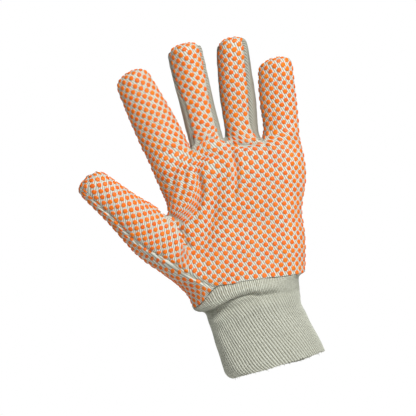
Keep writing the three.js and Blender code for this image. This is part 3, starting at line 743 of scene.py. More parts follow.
# %% Turn and gather the palm's cloth
INDEX_PIVOT = np.array([2.0, 164.0])
THUMB_PIVOT = np.array([-44.0, 86.0])
CREASE_HEIGHTS = (62, 75, 86, 92, 98, 103, 107)  # up the thumb's crease, to its sharp part
CREASE_PLACES = (-47, -46, -44, -42, -41, -40, -39.6)
CREASE_WIDTHS = (22, 22, 20, 16, 12, 7, 2)
BAND_PLACES = (-38, -14)
BAND_WIDTHS = (15, 9)
GATHER_FADE = 14.0  # millimetres from a gather's line
TURN_EDGE = -2.0  # right of here the cloth's turn into the index finger fades out
TURN_FADE = 16.0
ARC = ((0.12, 0.905), (0.05, 0.905), (-0.05, 0.905), (-0.11, 0.84), (-0.13, 0.74), (-0.17, 0.67),
       (-0.24, 0.61), (-0.33, 0.58), (-0.45, 0.56))
GATHERS = {
    # cloth gathered and reach in millimetres, and the line
    "ring_fork": (4.5, 2.6, ((0.12, 0.99), (0.14, 0.87), (0.135, 0.78), (0.1, 0.69),
                             (0.06, 0.61))),
    "ring_base": (3.0, 2.2, ((0.14, 0.965), (0.2, 0.925), (0.27, 0.905), (0.35, 0.915))),
    "arc_top": (3.0, 2.4, ((0.09, 0.9), (0.0, 0.905), (-0.07, 0.88), (-0.11, 0.82))),
    "index_root": (2.5, 2.4, ((-0.13, 0.99), (-0.2, 0.92), (-0.25, 0.85), (-0.3, 0.78))),
    "hollow": (3.5, 3.4, ((0.02, 0.76), (-0.05, 0.64), (-0.1, 0.55), (-0.14, 0.48), (-0.19, 0.41),
                          (-0.25, 0.35), (-0.34, 0.29))),
}


def palm_uv(place, front, thumb):
    """Flat places of the palm's cloth, from its spread places and those in the front view."""
    gathered = place.copy()
    for amount, reach, line in GATHERS.values():
        distance, share, left = beside(front, line)
        half = smooth_step(distance / (4 * reach) + 0.5) - 0.5
        fade = np.sin(math.pi * np.clip(share, 0.02, 0.98)) * bell(distance / GATHER_FADE)
        gathered += left * (amount * half * fade)[:, None]
    upright = turned(gathered, PALM_WARP)

    def swung(pivot, degrees, weight):
        there = turned(gathered - pivot, degrees) + turned(pivot, PALM_WARP)
        return (there - upright) * weight[:, None]

    distance, _, _ = beside(front, ARC)
    band = np.interp(front[:, 0], BAND_PLACES, BAND_WIDTHS)
    past_edge = smooth_step((front[:, 0] - TURN_EDGE) / TURN_FADE)
    index = smooth_step(0.45 - distance / band) * (1 - past_edge) * ~thumb
    middle = np.interp(front[:, 1], CREASE_HEIGHTS, CREASE_PLACES)
    width = np.interp(front[:, 1], CREASE_HEIGHTS, CREASE_WIDTHS)
    swing = smooth_step((middle - front[:, 0]) / width + 0.5)
    swing = np.where(front[:, 1] > CREASE_HEIGHTS[-1], thumb, swing)
    index = index * (1 - swing)
    return (upright + swung(INDEX_PIVOT, DIGITS["index"]["warp"], index)
            + swung(THUMB_PIVOT, DIGITS["thumb"]["warp"], swing))


palm = faces_of("palm_panel")
thumb_corners = np.repeat(on_thumb[palm], 4)
palm_front = points[quads[palm]].reshape(-1, 3)[:, [0, 2]]
flats[palm] = palm_uv(flats[palm].reshape(-1, 2), palm_front, thumb_corners).reshape(-1, 4, 2)
print("Palm cloth spans", np.ptp(flats[palm].reshape(-1, 2), axis=0).round(1), "mm")

# %% [markdown]
# Cloth is never quite even, so a soft noise lifts it by a fraction of a millimetre. At each
# seam both cloths turn inwards, which leaves a groove with small puckers from the stitches.

# %% Find the seams and press them into the surface
def piece_edges(piece):
    """The open edges of one piece, as pairs of points."""
    mine = quads[faces_of(piece)]
    ends = np.stack([mine, np.roll(mine, -1, axis=1)], axis=-1).reshape(-1, 2)
    both = np.sort(ends, axis=1)
    _, first, count = np.unique(both, axis=0, return_index=True, return_counts=True)
    return ends[first[count == 1]]


edge_points = {piece: set(piece_edges(piece).ravel().tolist()) for piece in PIECES}
shared = {}
for piece in PIECES:
    for i in edge_points[piece]:
        shared.setdefault(i, []).append(piece)
seam_points = [i for i, sides in shared.items() if len(sides) > 1]
hem_points = [i for i, sides in shared.items() if len(sides) == 1]


def tree_of(indices):
    tree = KDTree(len(indices))
    for i in indices:
        tree.insert(points[i], i)
    tree.balance()
    return tree


seam_tree = tree_of(seam_points)
welt_points = sorted(edge_points["thumb_back"] & edge_points["palm_panel"])
welt_tree = tree_of(welt_points)
to_seam = np.array([seam_tree.find(p)[2] for p in points])
to_welt = np.array([welt_tree.find(p)[2] for p in points])
print("Seam points:", len(seam_points), "of which on the thumb's welt:", len(welt_points))

# %% Lift, groove and pucker the cloth
SOFT_LIFT = 0.45
FINE_LIFT = 0.14
GROOVE_DEPTH = 0.85
GROOVE_REACH = 1.3
PUCKER = 0.32
PUCKER_PLACE = 1.8  # millimetres beside the seam
PUCKER_REACH = 2.2
WELT_HEIGHT = 0.75
WELT_PLACE = 1.7
WELT_REACH = 0.95
TIP_FADE = 11.0  # the seam flattens this near to the thumb's tip
TIP_GROOVE = 0.15  # share of the groove that is left there
HEM_LIFT = 0.35  # share of the lift that is left at the hem


def noise_at(places, scale, shift=(0, 0, 0)):
    """Soft noise between about -1 and 1, read from the places in space."""
    shift = Vector(shift)
    return np.array([noise.noise(Vector(p) * scale + shift) for p in places])


soft = noise_at(points, 0.035)
fine_noise = noise_at(points, 0.12, (40, 0, 0))
pucker = noise_at(points, 0.28, (0, 70, 0))
is_thumb_back = np.zeros(len(points), dtype=bool)
is_thumb_back[quads[faces_of("thumb_back")].ravel()] = True

off_seam = np.clip((to_seam - 0.2) / 3, 0, 1)
lift = (SOFT_LIFT * soft + FINE_LIFT * fine_noise) * off_seam
lift += PUCKER * pucker * bell((to_seam - PUCKER_PLACE) / PUCKER_REACH)
from_tip = np.linalg.norm(points - cage_place("thumb.tip"), axis=1)
past_tip = smooth_step((from_tip - TIP_FADE) / TIP_FADE)
groove = GROOVE_DEPTH * bell(to_seam / GROOVE_REACH)
lift -= groove * (TIP_GROOVE + (1 - TIP_GROOVE) * past_tip)
lift += WELT_HEIGHT * bell((to_welt - WELT_PLACE) / WELT_REACH) * is_thumb_back * past_tip
off_hem = np.clip((points[:, 2] - palm_height(0.07)) / 6, 0, 1)
lift *= HEM_LIFT + (1 - HEM_LIFT) * off_hem
points += smooth_normals * lift[:, None]
normals = normals_of(points, quads)
print("Lift from %.2f to %.2f mm" % (lift.min(), lift.max()))

# %% [markdown]
# ## From surface to sewn pieces
# Each piece is its part of the surface, closed to a sheet of real thickness: an outer skin,
# an inner skin and a rim between them. The edges draw back a hair so that pieces never touch.

# %% Make a sheet object from one piece of the surface
SEAM_GAP = 0.12
CLOTH_UV = "cloth"


def mesh_object(name, places, faces, uv=None):
    """A smooth-shaded mesh object in metres, from places in millimetres."""
    made = link_mesh(name, (np.asarray(places) * MM).tolist(), faces)
    mesh = made.data
    if uv is not None:
        mesh.uv_layers.new(name=CLOTH_UV).data.foreach_set("uv", np.asarray(uv).reshape(-1))
    mesh.polygons.foreach_set("use_smooth", [True] * len(mesh.polygons))
    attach(made, "root")
    return made


def sheet_parts(piece):
    """Points, faces and flat places of a closed sheet, and the faces of its outer skin."""
    mine = faces_of(piece)
    outer_quads = quads[mine]
    used = np.unique(outer_quads)
    place = np.full(len(points), -1)
    place[used] = np.arange(len(used))
    outer = points[used].copy()
    edge = piece_edges(piece)
    inward = np.zeros_like(points)
    centres = points[outer_quads].mean(axis=1)
    for k in range(4):
        np.add.at(inward, outer_quads[:, k], centres - points[outer_quads[:, k]])
    rim = np.unique(edge)
    pull = inward[rim] - normals[rim] * (inward[rim] * normals[rim]).sum(1)[:, None]
    outer[place[rim]] += unit(pull) * SEAM_GAP / 2
    inner = outer - normals[used] * CLOTH_THICKNESS
    n = len(used)
    local = place[outer_quads]
    a, b = place[edge[:, 0]], place[edge[:, 1]]
    rim_quads = np.stack([a, a + n, b + n, b], axis=1)
    faces = np.concatenate([local, local[:, ::-1] + n, rim_quads])
    flat = flats[mine]
    corner_flat = np.zeros((len(used), 2))
    corner_flat[local.ravel()] = flat.reshape(-1, 2)
    uv = np.concatenate([flat, flat[:, ::-1], corner_flat[rim_quads % n]])
    return np.concatenate([outer, inner]), faces, uv, local


cloth = {}
cut_sizes = {}
for piece in PIECES:
    places, faces, uv, outer_faces = sheet_parts(piece)
    made = mesh_object(f"{piece}_cloth", places, faces.tolist(), uv)
    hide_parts(piece)
    flat_span = np.ptp(flats[faces_of(piece)].reshape(-1, 2), axis=0) * MM
    area = 0.5 * np.linalg.norm(crossed_diagonals(places, outer_faces), axis=1).sum() * MM**2
    cloth[piece] = made
    cut_sizes[piece] = (flat_span, area)
    print(piece, len(faces), "faces, cut", flat_span.round(3), "m, area %.5f m2" % area)

# %% [markdown]
# ## Grip dots
# The dots are soft plastic, printed hot through a screen onto the flat cloth before it is cut.
# They sit on a slanted lattice in the flat cloth, so each is found in the UV map, and then
# laid on the surface as a small dome. Where a seam cuts a dot, the dome stops at the edge.

# %% Find where the lattice of dots meets the cloth
DOT_ACROSS = 6.75  # lattice spacing across the warp, with a second dot in the middle
DOT_ALONG = 6.45
DOT_RADIUS = 1.84
DOT_HEIGHT = 0.62
CLOSEST_DOTS = 1.4
LEAST_SPREAD = 0.28  # cloth bunched more than this is hidden in a crease
MOST_STRETCH = 1.12
NO_AREA = 1e-12
ON_EDGE = 1e-6


def cross_2d(a, b):
    """Twice the area between two flat vectors, row by row."""
    return a[:, 0] * b[:, 1] - a[:, 1] * b[:, 0]


def lattice_hits(mine):
    """Middles of the dots on the given faces, and how the flat axes lie in space there."""
    corner = points[quads[mine]]
    flat = flats[mine]
    middles, axes = [], []
    for order in ((0, 1, 2), (0, 2, 3)):
        p, f = corner[:, order], flat[:, order]
        i, j = f[..., 0] / DOT_ACROSS, f[..., 1] / DOT_ALONG
        c = np.stack([j + i, j - i], axis=-1)
        v0, v1 = c[:, 1] - c[:, 0], c[:, 2] - c[:, 0]
        v2 = np.round(c.mean(axis=1)) - c[:, 0]
        area = cross_2d(v0, v1)
        area = np.where(np.abs(area) < NO_AREA, NO_AREA, area)
        s = cross_2d(v2, v1) / area
        t = cross_2d(v0, v2) / area
        inside = (s >= -ON_EDGE) & (t >= -ON_EDGE) & (s + t <= 1 + ON_EDGE)
        e0, e1 = (p[:, 1] - p[:, 0])[inside], (p[:, 2] - p[:, 0])[inside]
        d0, d1 = (f[:, 1] - f[:, 0])[inside], (f[:, 2] - f[:, 0])[inside]
        flat_area = cross_2d(d0, d1)[:, None]
        u_axis = (e0 * d1[:, 1:] - e1 * d0[:, 1:]) / flat_area
        v_axis = (e1 * d0[:, :1] - e0 * d1[:, :1]) / flat_area
        middles.append(p[inside, 0] + s[inside, None] * e0 + t[inside, None] * e1)
        axes.append(np.stack([u_axis, v_axis], axis=1))
    middles, axes = np.concatenate(middles), np.concatenate(axes)
    squeeze = np.linalg.norm(np.cross(axes[:, 0], axes[:, 1]), axis=1)
    seen = squeeze > LEAST_SPREAD
    return middles[seen], axes[seen]


def apart(places, distance):
    """Which places are not too close to one before them."""
    kept, taken = [], {}
    steps = [(x, y, z) for x in (-1, 0, 1) for y in (-1, 0, 1) for z in (-1, 0, 1)]
    for i, p in enumerate(places):
        cell = [int(c) for c in p // distance]
        near = [k for step in steps for k in taken.get(tuple(map(sum, zip(cell, step))), ())]
        if all(np.linalg.norm(p - places[k]) > distance for k in near):
            kept.append(i)
            taken.setdefault(tuple(cell), []).append(i)
    return kept


dot_middles = {}
for piece in PIECES[:4]:
    found, axes = lattice_hits(faces_of(piece))
    order = np.lexsort(found.round(3).T)
    kept = order[apart(found[order], CLOSEST_DOTS)]
    dot_middles[piece] = found[kept], axes[kept]
    print(piece, "has", len(kept), "dots")

# %% Lay a dome on the cloth at each place
DOT_RINGS = ((0.22, 0.97), (0.5, 0.97), (0.76, 0.78), (0.94, 0.42), (1.02, -0.15))
DOT_MIDDLE = 0.8  # the screen leaves a small dimple in the middle
DOT_SIDES = 12
SIZE_VARIES = 0.08
OUTLINE_VARIES = 0.05


def dome_mesh(piece, middles, axes):
    tree = BVHTree.FromPolygons(points.tolist(), quads[faces_of(piece)].tolist())
    places, faces, tint = [], [], []
    for middle, (u_axis, v_axis) in zip(middles, axes):
        spot = Vector(middle)
        _, normal, _, _ = tree.find_nearest(spot)
        across, up = (Vector(v * min(1, MOST_STRETCH / np.linalg.norm(v))) for v in (u_axis, v_axis))
        vary = noise.noise(spot * 0.9)
        radius = DOT_RADIUS * (1 + SIZE_VARIES * vary)
        start = len(places)
        places.append(spot + normal * DOT_HEIGHT * DOT_MIDDLE)
        for share, height in DOT_RINGS:
            for k in range(DOT_SIDES):
                turn = 2 * math.pi * k / DOT_SIDES
                wobble = 1 + OUTLINE_VARIES * math.sin(3 * turn + 9 * vary)
                reach = radius * share * wobble
                aim = spot + (across * math.cos(turn) + up * math.sin(turn)) * reach
                near, near_normal, _, _ = tree.find_nearest(aim)
                places.append(near + (near_normal + normal).normalized() * DOT_HEIGHT * height)
        for k in range(DOT_SIDES):
            j = (k + 1) % DOT_SIDES
            faces.append((start, start + 1 + k, start + 1 + j))
            for ring in range(len(DOT_RINGS) - 1):
                low = start + 1 + ring * DOT_SIDES
                faces.append((low + k, low + DOT_SIDES + k, low + DOT_SIDES + j, low + j))
        tint += [0.5 + vary] * (len(places) - start)
    return places, faces, tint


dots = {}
for piece, (middles, axes) in dot_middles.items():
    places, faces, tint = dome_mesh(piece, middles, axes)
    made = mesh_object(f"{piece}_dots", places, faces)
    shade = made.data.attributes.new("tint", "FLOAT", "POINT")
    shade.data.foreach_set("value", tint)
    dots[piece] = made
print("Dots in all:", sum(len(m) for m, _ in dot_middles.values()))

# %% [markdown]
# ## The knitted wrist
# The wrist is a tube of rib knit: columns of raised stitches with grooves between them. It is
# thick and elastic, so it rolls outwards under the hem and pinches in below that roll. Its
# ribs are real geometry, because their shadows show, and the stitches are left to the shader.

# %% Sections of the cuff, from the open rim up
CUFF_SECTIONS = {
    "rim": dict(z=0, centre=-0.02, width=1.05, depth=1.05, tilt=0),
    "above_rim": dict(z=0.13, centre=-0.032, width=1.05, depth=1.04, tilt=0),
    "low": dict(z=0.35, centre=-0.05, width=1.015, depth=1, tilt=0),
    "wrist": dict(z=0.6, centre=-0.062, width=0.985, depth=0.98, tilt=0.01),
    "under_fold": dict(z=0.73, centre=-0.058, width=1.0, depth=0.99, tilt=0.05),
    "fold": dict(z=0.815, centre=-0.058, width=1.02, depth=0.96, tilt=0.06),
    "roll": dict(z=0.925, centre=-0.078, width=1.13, depth=1.08, tilt=0.01),
}
RIB_PITCH = 1.9
COLUMNS_PER_RIB = 6
ROWS_PER_BAND = 10
RIB_DEPTH = 0.16
TOP_DROP = 0.25  # the knit stays this far below the hem, and inside it
TOP_INSET = 0.35


def hem_curve(turns):
    """The hem's line at turns round the glove, 0 at the thumb side, over the palm first."""
    line = points[hem_points]
    low, high = line.min(axis=0), line.max(axis=0)
    middle, size = (low + high) / 2, high - low
    angle = np.arctan2((middle[1] - line[:, 1]) / size[1], (middle[0] - line[:, 0]) / size[0])
    angle %= 2 * math.pi
    order = np.argsort(angle)
    angle, line = angle[order], line[order]
    angle = np.concatenate([angle[-1:] - 2 * math.pi, angle, angle[:1] + 2 * math.pi])
    line = np.concatenate([line[-1:], line, line[:1]])
    return np.stack([np.interp(turns, angle, line[:, k]) for k in range(3)], axis=1), middle


a, b = CUFF_WIDTH / 2, CUFF_DEPTH / 2
perimeter = math.pi * (3 * (a + b) - math.sqrt((3 * a + b) * (a + 3 * b)))
rib_count = 2 * round(perimeter / RIB_PITCH / 2)
columns = rib_count * COLUMNS_PER_RIB
turns = np.arange(columns) * 2 * math.pi / columns

# %% Loft smooth rings through the sections
rings = []
for section in CUFF_SECTIONS.values():
    x = section["centre"] * CUFF_WIDTH - 0.5 * section["width"] * CUFF_WIDTH * np.cos(turns)
    y = -0.5 * section["depth"] * CUFF_DEPTH * np.sin(turns)
    rings.append(np.stack([x, y, section["z"] * CUFF_LENGTH - section["tilt"] * x], axis=1))
hem_ring, hem_middle = hem_curve(turns)
top_ring = hem_ring - [0, 0, TOP_DROP]
top_ring[:, :2] -= TOP_INSET * unit(hem_ring[:, :2] - hem_middle[:2])
rings.append(top_ring)
knit = smooth_curve(rings, (len(rings) - 1) * ROWS_PER_BAND + 1)
height_share = np.linspace(0, 1, len(knit))[:, None]
print("Knit rows and columns:", knit.shape[:2], "ribs:", rib_count)

# %% Let the ribs lean and crowd as the knit twists on the wrist
KNIT_RADIUS = 31.0
THUMB_TURN = 38  # degrees round from the left edge
THUMB_SPREAD = 34
PALM_TURN = 110
SLIP_FADES_IN = (-140, 85)  # degrees from the palm's middle, and over how many it fades
SLIP_FADES_OUT = (80, 100)
PALM_SLIP = 0.23  # millimetres sideways for each millimetre below its top
PALM_SLIP_TOP = 46
THUMB_SLIP = 0.62  # and for each millimetre above its start, beside the thumb
THUMB_SLIP_START = 43
RIB_WOBBLE = 0.9


def grid_normals(grid):
    around = np.roll(grid, -1, axis=1) - np.roll(grid, 1, axis=1)
    return unit(np.cross(around, np.gradient(grid, axis=0)))


def ring_noise(scale, height):
    """Noise round the ring that closes on itself."""
    return np.array([noise.noise(Vector((math.cos(t) * scale, math.sin(t) * scale, height)))
                     for t in turns])


def rib_shift(height):
    """How far along the ring, in millimetres, each column slips at a height."""
    degrees = np.degrees(turns)
    from_front = (degrees - PALM_TURN + 180) % 360 - 180
    over_palm = smooth_step((from_front - SLIP_FADES_IN[0]) / SLIP_FADES_IN[1])
    over_palm *= 1 - smooth_step((from_front - SLIP_FADES_OUT[0]) / SLIP_FADES_OUT[1])
    by_thumb = sum(bell((degrees - at) / THUMB_SPREAD) for at in (THUMB_TURN, THUMB_TURN + 360))
    slip = PALM_SLIP * over_palm * (PALM_SLIP_TOP - height)
    slip -= THUMB_SLIP * by_thumb * np.maximum(0, height - THUMB_SLIP_START)
    return slip + RIB_WOBBLE * ring_noise(2.2, height * 0.05)


def slipped(grid):
    result = np.empty_like(grid)
    for row, line in enumerate(grid):
        at = turns + rib_shift(line[:, 2].mean()) / KNIT_RADIUS
        for axis in range(3):
            result[row, :, axis] = np.interp(at, turns, line[:, axis], period=2 * math.pi)
    return result


knit = slipped(knit)
plain = knit.copy()
knit_normals = grid_normals(knit)
print("Ribs slip by up to %.1f mm at the rim" % np.abs(rib_shift(0)).max())

# %% Give the knit its ribs, creases and worn rim
def place_shares(line):
    return [(x / PALM_WIDTH, (z - CUFF_LENGTH) / PALM_LENGTH) for x, z in line]


CUFF_FOLDS = {
    # depth and reach in millimetres and a line over the front; the roll stands out
    "roll": (-2.3, 6.0, ((-46, 57), (-36, 59.5), (-25, 63), (-14, 64.5), (-2, 63.5), (10, 60))),
    "crease": (3.2, 2.3, ((-42, 53.5), (-35, 52.8), (-26, 54), (-19, 56), (-12, 57.3),
                          (-4, 57), (2, 54.5))),
    "crease_wide": (1.8, 5.0, ((-42, 51), (-32, 51), (-22, 53), (-10, 55), (2, 53), (12, 51))),
    "crease_end": (0.8, 2.4, ((-2, 56), (6, 53), (14, 51.5), (24, 49))),
    "under_crease": (0.6, 2.0, ((-34, 47), (-26, 49), (-18, 50.5))),
    "left_hollow": (0.5, 4.0, ((-33, 16), (-29, 26), (-31, 38))),
    "right_hollow": (0.5, 5.0, ((6, 8), (14, 20), (17, 36))),
}
SOFT_KNIT = 0.6
RIBS_FADE_FROM = 47.0  # the ribs flatten above this height, where the knit bunches up
RIBS_FADE_OVER = 7.0
RIBS_FADE_BY = 0.75
RIM_SAG = 0.9
RIM_WAVE = 0.9
RIM_FRAY = 0.6
RIM_DROP = 3.4  # at the rim's lowest place, behind on the right
DROP_TURN = 235
DROP_SPREAD = 36
RIM_CURL = 3.4
WORN_HEIGHT = 1 / 7  # share of the knit's height over which the rim's wear fades out

rib = np.cos(turns * rib_count)[None, :, None]
soft_noise = noise_at(knit.reshape(-1, 3), 0.09).reshape(knit.shape[:2])
row_height = knit[..., 2].mean(axis=1)[:, None, None]
flatter = RIBS_FADE_BY * smooth_step((row_height - RIBS_FADE_FROM) / RIBS_FADE_OVER)
knit += knit_normals * (RIB_DEPTH * (rib - 1) * (1 - flatter))
knit += knit_normals * SOFT_KNIT * soft_noise[..., None]
front_places = knit[..., [0, 2]].reshape(-1, 2)
folds = {name: (depth / PALM_DEPTH, reach / PALM_DEPTH, place_shares(line))
         for name, (depth, reach, line) in CUFF_FOLDS.items()}
crease_pull = fold_depth(front_places, folds).reshape(knit.shape[:2])
on_front = np.clip(-knit_normals[..., 1] * 1.8 + 0.25, 0, 1)
crease_pull *= on_front * np.clip((1 - height_share) * 8, 0, 1)
knit -= knit_normals * crease_pull[..., None]

behind_right = bell((np.degrees(turns) - DROP_TURN) / DROP_SPREAD)
drop = -RIM_SAG * np.cos(turns) ** 2 - 0.4 - RIM_DROP * behind_right
drop += RIM_WAVE * ring_noise(1.7, 3) + RIM_FRAY * ring_noise(26, 9)
to_rim = np.clip(1 - height_share / WORN_HEIGHT, 0, 1) ** 2
curl = RIM_CURL * np.maximum(0, np.cos(turns)) ** 1.5


def wear_rim(grid, step=1):
    """Lets the rim hang unevenly, and curls it in on the thumb side."""
    grid[..., 2] += drop[None, ::step] * to_rim
    grid[..., 0] += curl[None, ::step] * to_rim
    grid[..., 2] += 0.5 * curl[None, ::step] * to_rim


wear_rim(knit)
print("The rim hangs from %.1f to %.1f mm" % (knit[0, :, 2].min(), knit[0, :, 2].max()))

# %% Close the knit to a thick tube
knit_uv_u = turns * perimeter / (2 * math.pi)
knit_uv_v = np.cumsum(np.linalg.norm(np.diff(knit[:, 0], axis=0, prepend=knit[:1, 0]), axis=1))
inner_step = COLUMNS_PER_RIB // 2
inside = plain - knit_normals * (KNIT_THICKNESS + 2 * RIB_DEPTH)
inside -= knit_normals * np.maximum(0, crease_pull)[..., None]
inside = inside[:, ::inner_step]
wear_rim(inside, inner_step)
n_rows, n_inner = len(knit), inside.shape[1]


def tube_quads(n_columns, first, flip):
    i = np.arange(n_columns)
    quads = []
    for row in range(n_rows - 1):
        low = first + row * n_columns
        a, b = low + i, low + (i + 1) % n_columns
        quad = np.stack([a, b, b + n_columns, a + n_columns], axis=1)
        quads.append(quad[:, ::-1] if flip else quad)
    return np.concatenate(quads)


first_inner = n_rows * columns
cuff_faces = tube_quads(columns, 0, False).tolist() + tube_quads(n_inner, first_inner, True).tolist()
for row, flip in ((0, True), (n_rows - 1, False)):
    for i in range(n_inner):
        outer_run = [row * columns + (i * inner_step + k) % columns for k in range(inner_step + 1)]
        inner_pair = [first_inner + row * n_inner + (i + 1) % n_inner, first_inner + row * n_inner + i]
        face = outer_run + inner_pair
        cuff_faces.append(face[::-1] if flip else face)
cuff_places = np.concatenate([knit.reshape(-1, 3), inside.reshape(-1, 3)])
u_of = np.concatenate([np.tile(knit_uv_u, n_rows), np.tile(knit_uv_u[::inner_step], n_rows)])
v_of = np.concatenate([np.repeat(knit_uv_v, columns), np.repeat(knit_uv_v, n_inner)])
cuff_uv = []
for face in cuff_faces:
    u = u_of[face]
    u = np.where(u.max() - u > perimeter / 2, u + perimeter, u)
    cuff_uv += np.stack([u, v_of[face]], axis=1).tolist()
cuff = mesh_object("knit_cuff_ribs", cuff_places, cuff_faces, cuff_uv)
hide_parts("knit_cuff")
print("Cuff faces:", len(cuff_faces))

# %% [markdown]
# ## Thread
# The seams are sewn from the inside, so only short bars of thread show where a groove opens.
# At the cuff's cut rim the knit frays into short loose ends.

# %% A thin tube along a line
THREAD_SIDES = 5


def thread_tube(line, radius, up):
    """Places and faces of a closed tube that is thinner at both ends."""
    along = unit(np.gradient(line, axis=0))
    side = unit(np.cross(along, up))
    rise = np.cross(side, along)
    girth = np.full((len(line), 1), radius)
    girth[[0, -1]] *= 0.5
    ring = [line + girth * (math.cos(t) * side + math.sin(t) * rise)
            for t in np.arange(THREAD_SIDES) * 2 * math.pi / THREAD_SIDES]
    n, last = THREAD_SIDES, (len(line) - 1) * THREAD_SIDES
    faces = [[row + k, row + n + k, row + n + (k + 1) % n, row + (k + 1) % n]
             for row in range(0, last, n) for k in range(n)]
    faces += [list(range(n)), list(range(last, last + n))[::-1]]
    return np.stack(ring, axis=1).reshape(-1, 3), faces


def threads(name, lines, radius):
    places, faces = [], []
    for line, up in lines:
        tube, tube_faces = thread_tube(line, radius, up)
        faces += [[i + len(places) for i in face] for face in tube_faces]
        places += tube.tolist()
    return mesh_object(name, places, faces)


# %% Bars of thread across the seams
STITCH_EVERY = 3.0
STITCH_HALF = 0.85
STITCH_RADIUS = 0.17
STITCH_RISE = 0.32  # above the groove, at the bar's middle
STITCH_SINK = 0.34  # how much lower its ends lie
beside_seam = {}
for piece in PIECES:
    for a, b in piece_edges(piece).tolist():
        if len(shared[a]) > 1 and len(shared[b]) > 1:
            beside_seam.setdefault(a, set()).add(b)
            beside_seam.setdefault(b, set()).add(a)
on_seam = np.array([i for i in seam_points if len(beside_seam.get(i, ())) == 2])
bars = []
for i in on_seam[apart(points[on_seam], STITCH_EVERY)]:
    before, after = beside_seam[i]
    across = unit(np.cross(points[after] - points[before], normals[i]))
    t = np.linspace(-1, 1, 6)[:, None]
    rise = normals[i] * (STITCH_RISE - STITCH_SINK * t**2)
    bars.append((points[i] + across * STITCH_HALF * t + rise, normals[i]))
stitches = threads("seam_stitches", bars, STITCH_RADIUS)
print("Stitches:", len(bars))

# %% Loose ends at the rim
LOOSE_ENDS = 80
LOOSE_RADIUS = 0.14
dice = np.random.default_rng(5)
rim_middle = (knit[0, ::inner_step] + inside[0]) / 2
loose = []
for k in dice.choice(len(rim_middle), LOOSE_ENDS, replace=False):
    reach = dice.uniform(0.5, 1.3)
    drift = dice.normal(0, 0.35, 3) + [0, 0, -1]
    bend = dice.normal(0, 0.4, 3)
    t = np.linspace(0, 1, 5)[:, None]
    line = rim_middle[k] + reach * (t * drift + t**2 * bend) + [0, 0, 0.3]
    loose.append((line, bend + [0.1, 1, 0]))
fray = threads("cuff_loose_ends", loose, LOOSE_RADIUS)
print("Loose ends:", len(loose))

# %% [markdown]
# ## Shader tools
# Node trees are easier to read as sums. The class below wraps one socket, so that a line such
# as `0.5 + 0.5 * wave` adds its Math nodes, and `node` adds any other node by its type.

# %% A small class for shader maths
class Field:
    def __init__(self, tree, socket):
        self.tree = tree
        self.socket = socket

    def math(self, operation, other=None, flip=False):
        made = self.tree.nodes.new("ShaderNodeMath")
        made.operation = operation
        values = [self] if other is None else [self, other]
        for slot, value in zip(made.inputs, values[::-1] if flip else values):
            if isinstance(value, Field):
                self.tree.links.new(value.socket, slot)
            else:
                slot.default_value = value
        return Field(self.tree, made.outputs[0])

    def __add__(self, other):
        return self.math("ADD", other)

    __radd__ = __add__

    def __mul__(self, other):
        return self.math("MULTIPLY", other)

    __rmul__ = __mul__

    def __sub__(self, other):
        return self.math("SUBTRACT", other)

    def __rsub__(self, other):
        return self.math("SUBTRACT", other, flip=True)

    def __truediv__(self, other):
        return self.math("DIVIDE", other)

    def __pow__(self, other):
        return self.math("POWER", other)

    def wave(self):
        """A cosine between 0 and 1 that repeats at each whole number."""
        return (self * (2 * math.pi)).math("COSINE") * 0.5 + 0.5

    def clamp(self):
        made = self.math("ADD", 0.0)
        made.socket.node.use_clamp = True
        return made


class Finish:
    """One material, with its Principled shader and a method that adds nodes."""

    def __init__(self, name, **plain):
        self.material = bpy.data.materials.new(name)
        self.material.use_nodes = True
        self.tree = self.material.node_tree
        self.shader = next(n for n in self.tree.nodes if n.type == "BSDF_PRINCIPLED")
        for key, value in plain.items():
            self.shader.inputs[key.replace("_", " ")].default_value = value

    def node(self, kind, output=0, settings=None, **sockets):
        made = self.tree.nodes.new(kind)
        for key, value in (settings or {}).items():
            setattr(made, key, value)
        for key, value in sockets.items():
            slot = made.inputs[int(key[1:])] if key[1:].isdigit() else made.inputs[key]
            if isinstance(value, Field):
                self.tree.links.new(value.socket, slot)
            else:
                slot.default_value = value
        return Field(self.tree, made.outputs[output])

    def feed(self, name, value):
        self.tree.links.new(value.socket, self.shader.inputs[name])

    def mix(self, factor, first, second):
        """Mixes two colours: inputs 6 and 7 of a Mix node are its colours."""
        return self.node("ShaderNodeMix", output=2, settings={"data_type": "RGBA"},
                         _0=factor, _6=first, _7=second)

    def parts(self, vector):
        split = self.node("ShaderNodeSeparateXYZ", _0=vector)
        return [Field(self.tree, out) for out in split.socket.node.outputs]

    def noise(self, vector, scale, detail):
        return self.node("ShaderNodeTexNoise", Vector=vector, Scale=scale, Detail=detail)

    def bump(self, height, distance, strength):
        return self.node("ShaderNodeBump", Height=height, Distance=distance, Strength=strength)


# %% [markdown]
# ## Cotton drill
# Drill is a twill: each thread passes over three and under one, a step further in each row,
# which draws slanted lines. The lines lean 25 degrees from the warp and lie 1.55 mm apart.
# They are worked out from the flat places in the UV map, in millimetres, so they turn with
# the cloth. The grooves between the lines are narrow and painted dark, as painted shade; so
# are the gaps between threads. Threads vary in thickness, and unbleached cotton carries a few
# darker flecks. The plain cloth is woven a little finer, and its lines lean the other way. It
# is the same cotton, but its colours are set much darker, as painted shade for the sides of
# the fingers.

# %% Twill as a height and a shade
TWILL_ANGLE = 25.0
TWILL_PITCH = 1.55
PLAIN_TWILL_PITCH = 1.3
THREAD_PITCH = 0.52


